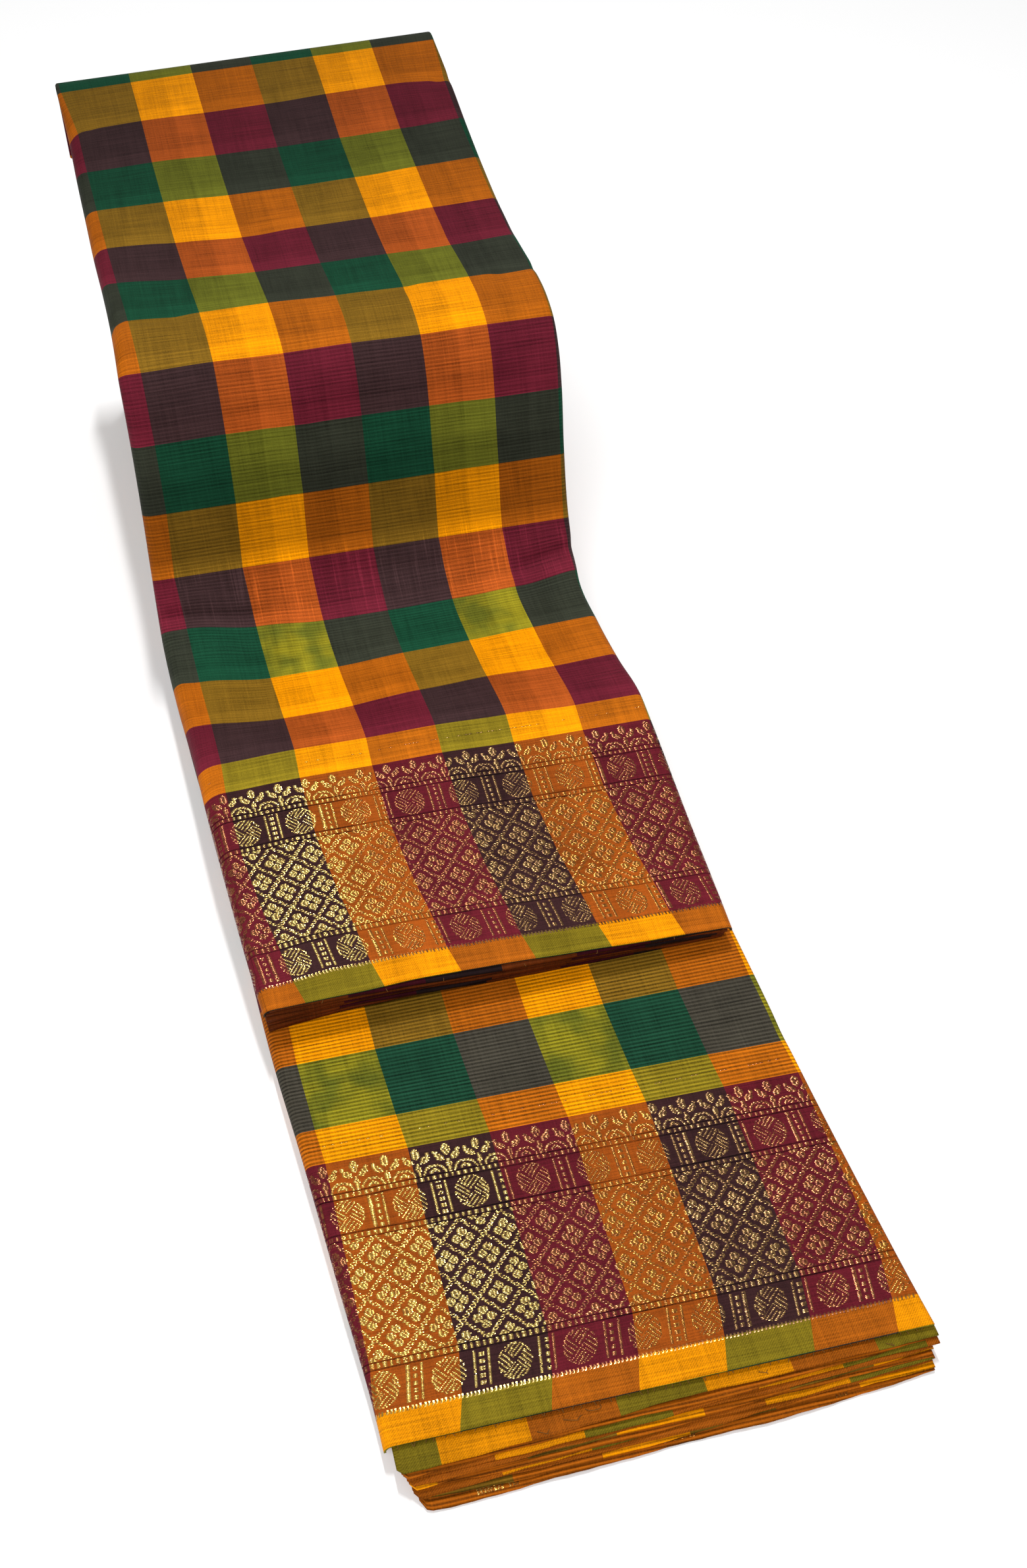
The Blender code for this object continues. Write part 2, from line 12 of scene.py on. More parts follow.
import bpy
import numpy as np
from mathutils import Vector
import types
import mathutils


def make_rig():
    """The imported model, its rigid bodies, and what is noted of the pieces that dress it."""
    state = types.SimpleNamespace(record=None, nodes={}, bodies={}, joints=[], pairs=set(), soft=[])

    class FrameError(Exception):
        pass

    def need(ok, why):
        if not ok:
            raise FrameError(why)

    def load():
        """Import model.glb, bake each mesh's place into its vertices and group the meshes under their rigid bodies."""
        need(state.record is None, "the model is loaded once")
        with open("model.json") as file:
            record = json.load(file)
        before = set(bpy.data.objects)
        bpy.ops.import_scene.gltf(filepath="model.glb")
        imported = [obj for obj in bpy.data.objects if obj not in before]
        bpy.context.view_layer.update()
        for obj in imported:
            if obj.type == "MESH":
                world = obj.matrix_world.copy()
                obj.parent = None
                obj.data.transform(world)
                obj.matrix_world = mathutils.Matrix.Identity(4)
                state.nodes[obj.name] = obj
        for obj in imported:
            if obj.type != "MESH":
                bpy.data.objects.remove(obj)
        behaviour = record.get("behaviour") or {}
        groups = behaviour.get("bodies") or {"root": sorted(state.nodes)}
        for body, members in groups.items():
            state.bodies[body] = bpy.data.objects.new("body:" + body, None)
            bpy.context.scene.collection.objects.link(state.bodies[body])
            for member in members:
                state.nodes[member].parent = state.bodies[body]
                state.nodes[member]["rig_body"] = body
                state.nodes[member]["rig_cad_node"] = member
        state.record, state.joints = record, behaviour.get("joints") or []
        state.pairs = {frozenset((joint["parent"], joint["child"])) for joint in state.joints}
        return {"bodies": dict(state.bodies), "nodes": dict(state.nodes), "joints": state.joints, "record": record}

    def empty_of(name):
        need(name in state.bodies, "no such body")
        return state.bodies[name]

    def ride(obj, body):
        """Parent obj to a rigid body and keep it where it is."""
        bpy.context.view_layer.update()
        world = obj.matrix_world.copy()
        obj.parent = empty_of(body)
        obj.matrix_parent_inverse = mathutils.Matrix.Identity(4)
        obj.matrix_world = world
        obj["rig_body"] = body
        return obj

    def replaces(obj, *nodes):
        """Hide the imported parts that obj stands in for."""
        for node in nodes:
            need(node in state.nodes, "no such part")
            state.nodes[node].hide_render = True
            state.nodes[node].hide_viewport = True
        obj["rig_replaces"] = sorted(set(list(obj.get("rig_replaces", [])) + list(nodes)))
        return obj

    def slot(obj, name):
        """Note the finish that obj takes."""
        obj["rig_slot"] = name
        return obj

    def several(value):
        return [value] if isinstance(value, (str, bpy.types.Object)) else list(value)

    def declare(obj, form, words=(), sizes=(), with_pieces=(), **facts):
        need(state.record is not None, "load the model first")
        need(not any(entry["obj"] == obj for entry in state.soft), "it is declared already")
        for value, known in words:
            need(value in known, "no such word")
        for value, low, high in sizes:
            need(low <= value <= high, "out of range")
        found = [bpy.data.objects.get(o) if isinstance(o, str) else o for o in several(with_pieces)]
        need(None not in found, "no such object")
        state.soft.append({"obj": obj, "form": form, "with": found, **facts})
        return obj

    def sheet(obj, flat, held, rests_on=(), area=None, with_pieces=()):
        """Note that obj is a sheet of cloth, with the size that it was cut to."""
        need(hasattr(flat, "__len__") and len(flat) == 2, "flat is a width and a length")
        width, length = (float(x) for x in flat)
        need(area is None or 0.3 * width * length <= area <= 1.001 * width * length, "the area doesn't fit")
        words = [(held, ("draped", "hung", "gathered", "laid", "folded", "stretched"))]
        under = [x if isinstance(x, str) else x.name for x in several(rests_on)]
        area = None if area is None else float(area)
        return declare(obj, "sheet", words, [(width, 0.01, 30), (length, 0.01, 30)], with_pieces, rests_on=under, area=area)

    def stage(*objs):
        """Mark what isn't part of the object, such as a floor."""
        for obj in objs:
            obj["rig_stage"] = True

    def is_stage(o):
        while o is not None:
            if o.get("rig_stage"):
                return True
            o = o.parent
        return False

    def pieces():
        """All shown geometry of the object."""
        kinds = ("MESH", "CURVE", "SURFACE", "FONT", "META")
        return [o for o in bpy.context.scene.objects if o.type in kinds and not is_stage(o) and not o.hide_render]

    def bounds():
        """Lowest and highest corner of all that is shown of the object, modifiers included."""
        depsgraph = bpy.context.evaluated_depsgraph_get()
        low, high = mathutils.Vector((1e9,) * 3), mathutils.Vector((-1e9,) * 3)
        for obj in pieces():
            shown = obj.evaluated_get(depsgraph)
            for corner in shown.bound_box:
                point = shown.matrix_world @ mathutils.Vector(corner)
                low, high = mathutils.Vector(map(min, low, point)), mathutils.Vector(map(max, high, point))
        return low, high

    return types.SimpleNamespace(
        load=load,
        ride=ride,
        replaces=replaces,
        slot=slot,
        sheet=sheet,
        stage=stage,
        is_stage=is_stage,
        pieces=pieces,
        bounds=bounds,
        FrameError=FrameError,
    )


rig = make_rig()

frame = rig.load()
CAD_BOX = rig.bounds()

MM = 0.001
CENTRE_RIGHT = 84.73
CENTRE_AHEAD = 285.86
MIDDLE = 84.0

CLOTH_THICK = 0.8
# The upper lap's sides are pressed sharper over this stretch from the rear fold
REAR_PRESSED = 30.0
TURN_RADIUS = 10.0
TURN_LENGTH = math.pi * TURN_RADIUS
TUCKED_UNDER = 22.0

Ply = namedtuple("Ply", "short left_in right_in wave")
FanPly = namedtuple("FanPly", "left middle right left_in right_in corner level first_column way band thick")
Crease = namedtuple("Crease", "x along to_x to_along wide deep")

# Sections of each lap from its rear: ahead, height, left, right, skew and tilt. skew and tilt are in percent:
# how much further ahead, and how much higher, the right side lies.
UPPER_LAP = (
    (-2, 170, -10, 165.5, -1.8, 1.0),
    (26, 162.5, -9, 167, -1.2, 0.9),
    (52, 155.2, -9, 167.5, -0.2, 0.8),
    (79, 150.2, -8.7, 167.5, 0.6, 0.5),
    (105, 146, -8.4, 168, 1.3, -0.3),
    (131, 143.8, -7.6, 169, 1.6, -0.8),
    (159, 143.4, -7.3, 170, 1.0, -1.4),
    (172.5, 142.1, -7.5, 170.2, 0.7, -1.6),
    (184.5, 136.6, -8, 170.5, 0.5, -1.7),
    (192.6, 125, -8.3, 170.8, 0.3, -1.9),
    (197, 111.4, -8.7, 171, 0.1, -2.0),
    (206, 83.6, -10, 170, 0.4, -2.0),
    (218.5, 59.2, -11.6, 168.5, 1.6, -1.7),
    (236.5, 41, -12.8, 167.5, 2.6, -1.0),
    (264, 39.6, -12, 167.5, 2.0, 0.4),
    (290, 42.6, -10.6, 168, 2.1, -0.3),
    (316, 46.8, -9.2, 169, 2.3, -1.1),
    (329, 45, -8.8, 169.2, 2.6, -1.6),
    (370, 36.2, -6.6, 170.2, 2.9, -3.2),
    (410, 28.7, -3.9, 171.2, 3.0, -4.0),
    (419.5, 26.6, -3, 171.4, 3.0, -3.9),
)
LOWER_LAP = (
    (250, 12.6, -8, 172, 2.6, 0),
    (378, 12.6, -5, 175, 3.2, 0),
    (433, 12.5, -2.8, 176.6, 3.9, -0.4),
    (468, 12.9, -0.2, 178, 4.3, -2.5),
    (520, 11.6, 3.2, 180.6, 4.5, -1.6),
    (560.5, 10.8, 5.8, 183.2, 4.8, -0.8),
    (571, 11.4, 6, 183.4, 5.3, 0.4),
)
# At its left and right side, each lap's cloth turns down with this radius, and this far
UPPER_SIDES = (4.5, 3.2)
LOWER_SIDES = (3.2, 3.2)
UPPER_TURNS = (math.radians(100), math.radians(100))
LOWER_TURNS = (math.radians(100), math.radians(28))

# Where each line between two bands of the weave lies along the upper lap, from the one behind the rear fold
# on. A band's number is the count of the lines before it: green, yellow and maroon take turns, then come the
# narrow yellow band, the border and the selvedge.
UPPER_LINES = (
    -105.2, -78.9, -52.6, -26.4, 2.1, 28.5, 54.7, 83.2, 109.7, 135.9, 164.2,
    190.6, 219.4, 248.5, 275.7, 301.1, 329.1, 355.3, 381.2, 394.0, 476.7, 486.85,
)
UPPER_FIRST_BAND = -3
LOWER_BODY_LINES = (-5.4, 21.1, 49.6, 75.8, 102.3, 130.8, 157.0, 183.5, 211.9)
LOWER_EDGE_LINES = (211.9, 225.4, 310.5, 321.04)
NARROW_BAND = 15
BORDER_BAND = 16
SELVEDGE_BAND = 17

# Where the lines between the columns lie across the cloth, before the weave's sideways drift is added
UPPER_COLUMNS = (-55.6, -27.6, 0.0, 28.4, 56.4, 84.0, 112.4, 140.4, 168.0, 196.4)
UPPER_FIRST_COLUMN = -2
LOWER_COLUMNS = (-51.5, -23.1, 4.5, 32.5, 60.9, 88.5, 116.5, 144.9, 172.5, 200.5)
LOWER_FIRST_COLUMN = 4

# The weave's sideways drift along each lap
UPPER_DRIFT = (
    (0, -5.0), (28.5, -4.3), (54.7, -3.8), (83.2, -3.0), (109.7, -2.1), (135.9, -1.0), (164.2, 0.3),
    (190.6, 1.1), (219.4, 0.7), (248.5, -0.3), (275.7, -2.5), (301.1, -1.8), (329.1, -1.1), (355.3, 0.0),
    (381.2, 0.6), (394.0, 0.1), (420.6, 1.0), (445.0, 4.1), (462.5, 7.2), (476.7, 9.6), (486.7, 12.3),
)
LOWER_DRIFT = ((0, 0.5), (183.5, 0.5), (211.9, 1.8), (225.4, 2.8), (296, 2.8), (310.5, 0.2), (320.7, -2.9))

# How far the upper lap's lines, from the fourth on, sag towards the front at eight places across
SAG_ACROSS = (-9, -1, 28, 56, 84, 112, 140, 168)
SAGS = (
    (0, 0, 0, 0, 0, 0, 0, 0),
    (1.2, 0.8, 0.4, 0, 0, 0, 0, 0),
    (4.6, 0.4, -0.4, 0.2, 0, -1, -1.4, 1),
    (0.4, 0.4, -0.2, 1, 1.4, 1, 0.4, -1),
    (-0.8, -1.6, -1.2, 0.2, 0.4, -0.2, -1.8, -2.6),
    (0.4, -1.6, 0, 2, 1.4, 0.8, -0.6, -1.6),
    (-3, -2.4, 1, 2.4, 2, 1.6, 0.4, -1.6),
    (2.8, -3.6, -1.2, -1.8, -0.8, -1.2, -1.8, -2.6),
    (0, 0, -0.6, -0.2, -0.6, -0.2, -0.6, -0.6),
    (0.2, 0, -0.4, 0, 0, 0, 0.6, 0.6),
    (0, 0, 0, 0, 0, 0, 0, 0),
    (0, 0, 0, 0, 0, 0, 0, 0),
    (-4, -4.2, -0.4, 2, 2, 1.4, 0.6, -3),
    (-5, -4, 1, 1.4, 0, -0.4, -1.4, -2),
    (-2.2, -2.2, 1.8, 1.8, -0.2, -1.6, -0.2, -1.2),
    (1.8, -0.2, -1.2, -0.8, -1.2, -0.2, 1.2, 1.2),
    (3, 1, 0, 0, -0.4, 0.4, 0.4, 0.4),
    (3.3, 1.8, -1, -1.7, -1.5, -0.8, -0.3, -0.2),
    (0.1, 0, -0.8, -2, -1.8, -1.2, -0.6, -0.2),
)
COLUMN_WIDTH = 28.0
RIB_PITCH = 1.5
RIB_TONES = {"all": 0.3, "part": 0.2}
WARP_PITCH = 0.42
WEFT_PITCH = 0.38
TWILL_PITCH = 0.9

# Where each lap's border begins along it, and how deep it is there. The border's chart is BORDER_DEPTH deep,
# with fine dark lines at DARK_LINES.
UPPER_BORDER = (394.0, 82.7)
LOWER_BORDER = (225.4, 85.1)
BORDER_DEPTH = 82.7
DARK_LINES = (11.25, 13.35, 25.35, 27.5, 67.35, 69.5)

# The step's plies begin this far behind the upper lap's front edge, and rest at this height on the lower lap
STEP_BEGIN = 46.0
STEP_FLOOR = 13.2
STEP_THICK = 1.2
# The fan's plies begin this far behind the lower lap's front edge, and the lowest lies at this height
FAN_BEGIN = 44.0
LOWEST_PLY = 1.0

# Flat sizes of the sheets, across the strip by along it
UPPER_SHEET = (187, 540)
LOWER_SHEET = (187, 321)
STEP_SHEET = (175, STEP_BEGIN)
FAN_WIDTH = 179


def steps(start, end, size):
    """Even steps from start to end, none longer than size."""
    return np.linspace(start, end, max(1, math.ceil(abs(end - start) / size)) + 1)


def share_steps(turn, size, after_size):
    """Steps from 0 to 1 that change their size at turn."""
    return np.concatenate([steps(0, turn, size), steps(turn, 1.0, after_size)[1:]])


class Strip:
    """A smooth curve through a table of sections, followed by the distance along it."""

    def __init__(self, table, drift, sides, turns, columns, first_column, column_step):
        self.rows = np.array(table, float)
        runs = np.hypot(np.diff(self.rows[:, 0]), np.diff(self.rows[:, 1]))
        self.knots = np.concatenate([[0.0], np.cumsum(runs)])
        slopes = np.diff(self.rows, axis=0) / runs[:, None]
        before, after = runs[:-1, None], runs[1:, None]
        inner = (slopes[:-1] * after + slopes[1:] * before) / (before + after)
        self.tangents = np.vstack([slopes[:1], inner, slopes[-1:]])
        self.length = self.knots[-1]
        self.drift_at, self.drift_by = np.array(drift, float).T
        self.sides = sides
        self.turns = turns
        self.columns = np.array(columns, float)
        self.column_numbers = first_column + column_step * np.arange(len(columns))

    def sections(self, along):
        """The table's columns and their slopes at places along the curve. Past the ends they run on."""
        inside = np.clip(along, 0.0, self.length)
        i = np.clip(np.searchsorted(self.knots, inside, side="right") - 1, 0, len(self.knots) - 2)
        run = (self.knots[i + 1] - self.knots[i])[:, None]
        t = (inside - self.knots[i])[:, None] / run
        low, high = self.rows[i], self.rows[i + 1]
        leave, arrive = self.tangents[i] * run, self.tangents[i + 1] * run
        value = (
            (2 * t**3 - 3 * t**2 + 1) * low
            + (t**3 - 2 * t**2 + t) * leave
            + (3 * t**2 - 2 * t**3) * high
            + (t**3 - t**2) * arrive
        )
        slope = (
            (6 * t**2 - 6 * t) * (low - high)
            + (3 * t**2 - 4 * t + 1) * leave
            + (3 * t**2 - 2 * t) * arrive
        ) / run
        return value, slope

    def spots(self, along):
        """Ahead and height with the outward direction, then left, right, skew and tilt, at places along."""
        along = np.asarray(along, float)
        shape, along = along.shape, along.ravel()
        value, slope = self.sections(along)
        steep = np.hypot(slope[:, 0], slope[:, 1])
        out_ahead, out_up = -slope[:, 1] / steep, slope[:, 0] / steep
        ahead, height, left, right, skew, tilt = value.T
        past = np.maximum(along - self.length, 0.0)
        ahead = ahead + past * out_up
        height = height - past * out_ahead
        angle = np.clip(-along / TURN_RADIUS, 0.0, math.pi)
        back = np.maximum(-along - TURN_LENGTH, 0.0)
        turned_ahead = out_ahead * np.cos(angle) - out_up * np.sin(angle)
        turned_up = out_up * np.cos(angle) + out_ahead * np.sin(angle)
        ahead = ahead + TURN_RADIUS * (turned_ahead - out_ahead) + back * out_up
        height = height + TURN_RADIUS * (turned_up - out_up) - back * out_ahead
        parts = (ahead, height, turned_ahead, turned_up, left, right, skew, tilt)
        return [part.reshape(shape) for part in parts]

    def drift(self, along):
        return np.interp(along, self.drift_at, self.drift_by)

    def column(self, across, along):
        """The weave's column number at a place: whole at each line between two columns."""
        return np.interp(across - self.drift(along), self.columns, self.column_numbers)

    def edges(self, along):
        """How far the unrolled cloth reaches to the left and right, before its sides are turned down."""
        return self.spots(along)[4:6]

    def below(self, x, along, depth):
        """Ahead and height of places this deep below the cloth's outer face."""
        ahead, height, out_ahead, out_up, _, _, skew, tilt = self.spots(along)
        aside = (x - MIDDLE) / 100
        return ahead + skew * aside - out_ahead * depth, height + tilt * aside - out_up * depth

    def depth_of(self, x, along, level):
        """How deep below the cloth's outer face a height above the floor lies."""
        _, height, _, out_up, _, _, _, tilt = self.spots(along)
        return (height + tilt * (x - MIDDLE) / 100 - level) / out_up

    def points(self, across, along, lift=0.0, creased=True):
        """The mesh points at places on the cloth's outer face, moved out by lift."""
        parts = np.broadcast_arrays(across, along, lift)
        across, along, lift = (part.ravel() for part in parts)
        left, right = self.edges(along)
        x, depth = across.copy(), -lift
        sharp = 1 - 0.75 * np.clip(1 - along / REAR_PRESSED, 0, 1)
        for side, way, radius in ((left, 1, self.sides[0]), (right, -1, self.sides[1])):
            over = way * (side + way * radius - across) / radius
            rolled = over > 0
            pressed = sharp * radius
            near = np.clip(1 + over * radius / 30, 0, 1)
            x[~rolled] -= (way * (radius - pressed) * near)[~rolled]
            x[rolled] = (side + way * (pressed - (pressed + lift) * np.sin(over)))[rolled]
            depth[rolled] = (pressed - (pressed + lift) * np.cos(over))[rolled]
        if creased:
            depth = depth + self.troughs(x, along)
        return world(x, *self.below(x, along, depth)).reshape(*parts[0].shape, 3)

    def troughs(self, x, along):
        """How deep the cloth lies in its creases, each a soft trough or ridge along a short line."""
        deep = np.zeros_like(x)
        for crease in self.creases:
            run = np.array([crease.to_x - crease.x, crease.to_along - crease.along], float)
            length = np.hypot(*run)
            run = run / length
            from_x, from_along = x - crease.x, along - crease.along
            forward = (from_x * run[0] + from_along * run[1]) / length
            off = from_x * run[1] - from_along * run[0]
            fade = np.clip(np.minimum(forward, 1 - forward) / 0.3 + 0.35, 0, 1)
            deep += crease.deep * np.exp(-((off / crease.wide) ** 2)) * fade**2 * (3 - 2 * fade)
        return deep


def world(x, ahead, height):
    """The mesh points of places in the tables' measures."""
    return np.stack([(x - CENTRE_RIGHT) * MM, (CENTRE_AHEAD - ahead) * MM, height * MM], axis=-1)


UPPER = Strip(UPPER_LAP, UPPER_DRIFT, UPPER_SIDES, UPPER_TURNS, UPPER_COLUMNS, UPPER_FIRST_COLUMN, 1)
LOWER = Strip(LOWER_LAP, LOWER_DRIFT, LOWER_SIDES, LOWER_TURNS, LOWER_COLUMNS, LOWER_FIRST_COLUMN, -1)

# Soft troughs (deep above 0) and ridges, from the photo's creases and the same kind where it shows none:
# from x and along, to x and along, wide and deep
UPPER_CREASES = (
    (-14, 290, 34, 298, 3.2, 1.7),
    (-14, 297, 20, 310, 4.5, -1.2),
    (176, 286, 140, 294, 3.0, 1.8),
    (176, 296, 128, 300, 4.0, -1.0),
    (60, 284, 120, 288, 5.0, 0.9),
    (-14, 160, 24, 164, 3.0, 1.3),
    (176, 158, 150, 163, 3.0, 1.1),
    (96, 168, 118, 165, 4.0, 0.8),
    (-14, 26, 4, 30, 3.0, 0.6),
    (176, 25, 158, 28, 3.0, 1.0),
    (20, 108, 70, 112, 7.0, 0.7),
    (120, 133, 176, 128, 7.0, 0.7),
    (44, 205, 50, 262, 5.0, 0.6),
    (60, 200, 66, 250, 4.0, -0.6),
    (128, 210, 122, 268, 6.0, 0.6),
    (0, 352, 60, 358, 6.0, 0.8),
    (90, 350, 150, 344, 7.0, 0.6),
    (30, 436, 60, 420, 6.0, -0.5),
    (110, 440, 150, 456, 7.0, 0.6),
)
LOWER_CREASES = (
    (20, 250, 60, 262, 7.0, 0.5),
    (110, 268, 160, 258, 8.0, 0.6),
    (60, 296, 120, 300, 5.0, -0.4),
    (-4, 236, 24, 240, 5.0, 0.6),
    (150, 205, 186, 210, 6.0, 0.7),
)
UPPER.creases = [Crease(*row) for row in UPPER_CREASES]
LOWER.creases = [Crease(*row) for row in LOWER_CREASES]


def upper_sag(x, along):
    """How far the weave's lines sag towards the front, smoothly between the table's places."""
    places = np.array(SAG_ACROSS)
    sags = np.stack([np.interp(along, UPPER_LINES[3:], sags) for sags in zip(*SAGS)], axis=-1)
    k = np.clip(np.searchsorted(places, x) - 1, 0, len(places) - 2)
    t = np.clip((x - places[k]) / (places[k + 1] - places[k]), 0, 1)
    t = t * t * (3 - 2 * t)
    low = np.take_along_axis(sags, k[..., None], -1)[..., 0]
    high = np.take_along_axis(sags, k[..., None] + 1, -1)[..., 0]
    return low + t * (high - low)


def no_sag(x, along):
    return np.zeros_like(x)


def deselect():
    bpy.ops.object.select_all(action="DESELECT")


def select_only(piece):
    deselect()
    piece.select_set(True)
    bpy.context.view_layer.objects.active = piece


def add_object(name, data):
    """A new object in the scene, the only one selected."""
    piece = bpy.data.objects.new(name, data)
    bpy.context.scene.collection.objects.link(piece)
    select_only(piece)
    return piece


def add_uv(mesh, name, places):
    mesh.uv_layers.new(name=name).data.foreach_set("uv", places.ravel())


def corner_points(mesh):
    """The number of the point at each corner of each face."""
    points = np.empty(len(mesh.loops), int)
    mesh.loops.foreach_get("vertex_index", points)
    return points


def fill_grid(name, points, columns, bands, cloth, material, thick=CLOTH_THICK):
    """A cloth shell from rows of points, rear row first. columns and bands are the weave's numbers at the
    corners of each face, and cloth is the distance across and along the cloth, in millimetres."""
    rows, places = points.shape[:2]
    deselect()
    bpy.ops.mesh.primitive_grid_add(x_subdivisions=places - 1, y_subdivisions=rows - 1, size=1)
    piece = bpy.context.object
    piece.name = piece.data.name = name
    mesh = piece.data
    start = np.empty(len(mesh.vertices) * 3)
    mesh.vertices.foreach_get("co", start)
    start = start.reshape(-1, 3)
    i = np.rint((start[:, 0] + 0.5) * (places - 1)).astype(int)
    j = np.rint((0.5 - start[:, 1]) * (rows - 1)).astype(int)
    mesh.vertices.foreach_set("co", points[j, i].ravel())
    corner = corner_points(mesh).reshape(-1, 4)
    at_i, at_j = i[corner], j[corner]
    face_row = at_j.min(axis=1)[:, None]
    v = bands[face_row, np.where(at_j == face_row, 0, 1)]
    while mesh.uv_layers:
        mesh.uv_layers.remove(mesh.uv_layers[0])
    add_uv(mesh, "weave", np.stack([columns[at_j, at_i], v], axis=-1))
    add_uv(mesh, "cloth", cloth[at_j, at_i])
    mesh.update()
    mesh.shade_smooth()
    mesh.materials.append(material)
    wall = piece.modifiers.new("Cloth", "SOLIDIFY")
    wall.thickness = thick * MM
    wall.offset = -1
    select_only(piece)
    bpy.ops.object.modifier_apply(modifier=wall.name)
    deselect()
    return piece


def declare_sheet(piece, width, length, rests_on, pieces=()):
    """The cut of a piece of cloth, its width and length in millimetres."""
    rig.sheet(piece, flat=(width * MM, length * MM), held="folded", rests_on=rests_on, with_pieces=pieces)


def finish_piece(piece, slot, *replaced):
    """The piece rides on the only body and stands for the solids it replaces."""
    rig.ride(piece, "root")
    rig.slot(piece, slot)
    if replaced:
        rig.replaces(piece, *replaced)
    return piece


def band_rows(lines, step):
    """Places along a lap, at most step apart, with one on each line between two bands."""
    rows = [lines[0]]
    for line, after in zip(lines, lines[1:]):
        rows += list(steps(line, after, step)[1:])
    return np.array(rows)


def band_numbers(rows, pieces):
    """The weave's band number at both ends of each row of faces. pieces are lines and the first's number."""
    middle = (rows[:-1] + rows[1:]) / 2
    numbers = np.zeros((len(middle), 2))
    for lines, first, way in pieces:
        inside = (middle >= lines[0]) & (middle <= lines[-1])
        counts = first + way * np.arange(len(lines))
        numbers[inside, 0] = np.interp(rows[:-1][inside], lines, counts)
        numbers[inside, 1] = np.interp(rows[1:][inside], lines, counts)
    return numbers


UPPER_BANDS = ((UPPER_LINES, UPPER_FIRST_BAND, 1),)
LOWER_BANDS = ((LOWER_BODY_LINES, len(LOWER_BODY_LINES) - 1, -1), (LOWER_EDGE_LINES, NARROW_BAND, 1))


def across_places(strip, step, side_step):
    """Shares of the way over a lap: down its left side, over its top, and down its right side."""
    left, right = strip.rows[:, 2].mean(), strip.rows[:, 3].mean()
    flat = steps(left + strip.sides[0], right - strip.sides[1], step)
    shares = (flat - flat[0]) / (flat[-1] - flat[0])
    down_left = -steps(strip.turns[0] * strip.sides[0], 0, side_step)[:-1]
    down_right = steps(0, strip.turns[1] * strip.sides[1], side_step)[1:]
    return down_left, shares, down_right


def lap_grid(strip, places, rows):
    """Where each point of a lap's cloth is, measured over the cloth: across by along."""
    down_left, shares, down_right = places
    left, right = strip.edges(rows)
    left, right = left[:, None] + strip.sides[0], right[:, None] - strip.sides[1]
    flat = left + shares * (right - left)
    return np.hstack([left + down_left, flat, right + down_right])


def lap_cloth(name, strip, places, rows, bands, sag, material):
    """A lap's top cloth, its sides turned down round the folded layers."""
    across = lap_grid(strip, places, rows)
    row = np.broadcast_to(rows[:, None], across.shape)
    along = row + sag(across, row)
    points = strip.points(across, along)
    columns = strip.column(across, row)
    cloth = np.stack([across, row], axis=-1)
    return fill_grid(name, points, columns, band_numbers(rows, bands), cloth, material)


def frayed(across, number, size):
    """A small uneven line for a cloth's cut or woven edge."""
    return size * (
        0.6 * np.sin(across / 9.0 + 2.1 * number)
        + 0.3 * np.sin(across / 3.7 + 1.3 * number)
        + 0.15 * np.sin(across / 1.3 + 4.2 * number)
    )


class Look:
    """A material, and short calls that join its nodes."""

    def __init__(self, name):
        self.material = bpy.data.materials.new(name)
        self.material.use_nodes = True
        self.tree = self.material.node_tree
        self.shader = self.tree.nodes["Principled BSDF"]

    def set(self, **values):
        for name, value in values.items():
            self.give(self.shader.inputs[name.replace("_", " ")], value)

    def node(self, kind, *inputs, output=0, named=(), **settings):
        """A new node's output, with its first inputs in order and others by name or number."""
        node = self.tree.nodes.new(kind)
        for name, value in settings.items():
            setattr(node, name, value)
        for at, value in (*enumerate(inputs), *named):
            self.give(node.inputs[at], value)
        return node.outputs[output]

    def give(self, socket, value):
        if isinstance(value, bpy.types.NodeSocket):
            self.tree.links.new(value, socket)
        elif isinstance(value, tuple) and len(value) == 3 and socket.type == "RGBA":
            socket.default_value = (*value, 1)
        else:
            socket.default_value = value

    def math(self, operation, *inputs):
        return self.node("ShaderNodeMath", *inputs, operation=operation)

    def times(self, first, second):
        return self.math("MULTIPLY", first, second)

    def plus(self, total, value, amount):
        """The total with this amount of a value added."""
        return self.math("MULTIPLY_ADD", value, amount, total)

    def wave(self, value, pitch):
        """Even ridges and troughs along a value, from 1 to -1."""
        return self.math("SINE", self.times(value, 2 * math.pi / pitch))

    def in_threes(self, value):
        """Which of the check's three colours a number of the weave takes: 0, 1 or 2."""
        return self.math("FLOORED_MODULO", self.math("FLOOR", value), 3.0)

    def is_number(self, value, number):
        """1 where a whole number is this one."""
        return self.math("COMPARE", value, float(number), 0.1)

    def smooth_step(self, value, low, high):
        return self.node("ShaderNodeMapRange", value, low, high, 0.0, 1.0, interpolation_type="SMOOTHSTEP")

    def mix(self, factor, first, second):
        """Mixes two colours."""
        named = ((0, factor), (6, first), (7, second))
        return self.node("ShaderNodeMix", output=2, named=named, data_type="RGBA")

    def noise(self, place, scale, detail=2.0, roughness=0.5):
        named = (("Vector", place), ("Scale", scale), ("Detail", detail), ("Roughness", roughness))
        return self.node("ShaderNodeTexNoise", named=named)

    def streaks(self, across, along, fine_across, fine_along, detail=2.0, roughness=0.5):
        """Noise over the cloth, finer one way than the other."""
        place = self.join(self.times(across, fine_across), self.times(along, fine_along))
        return self.noise(place, 1.0, detail, roughness)

    def uv(self, name):
        return self.node("ShaderNodeUVMap", uv_map=name)

    def split(self, vector):
        node = self.tree.nodes.new("ShaderNodeSeparateXYZ")
        self.give(node.inputs[0], vector)
        return node.outputs[0], node.outputs[1]

    def join(self, x, y):
        return self.node("ShaderNodeCombineXYZ", x, y)

    def bump(self, height, distance, strength):
        named = (("Strength", strength), ("Distance", distance), ("Height", height))
        self.set(Normal=self.node("ShaderNodeBump", named=named))


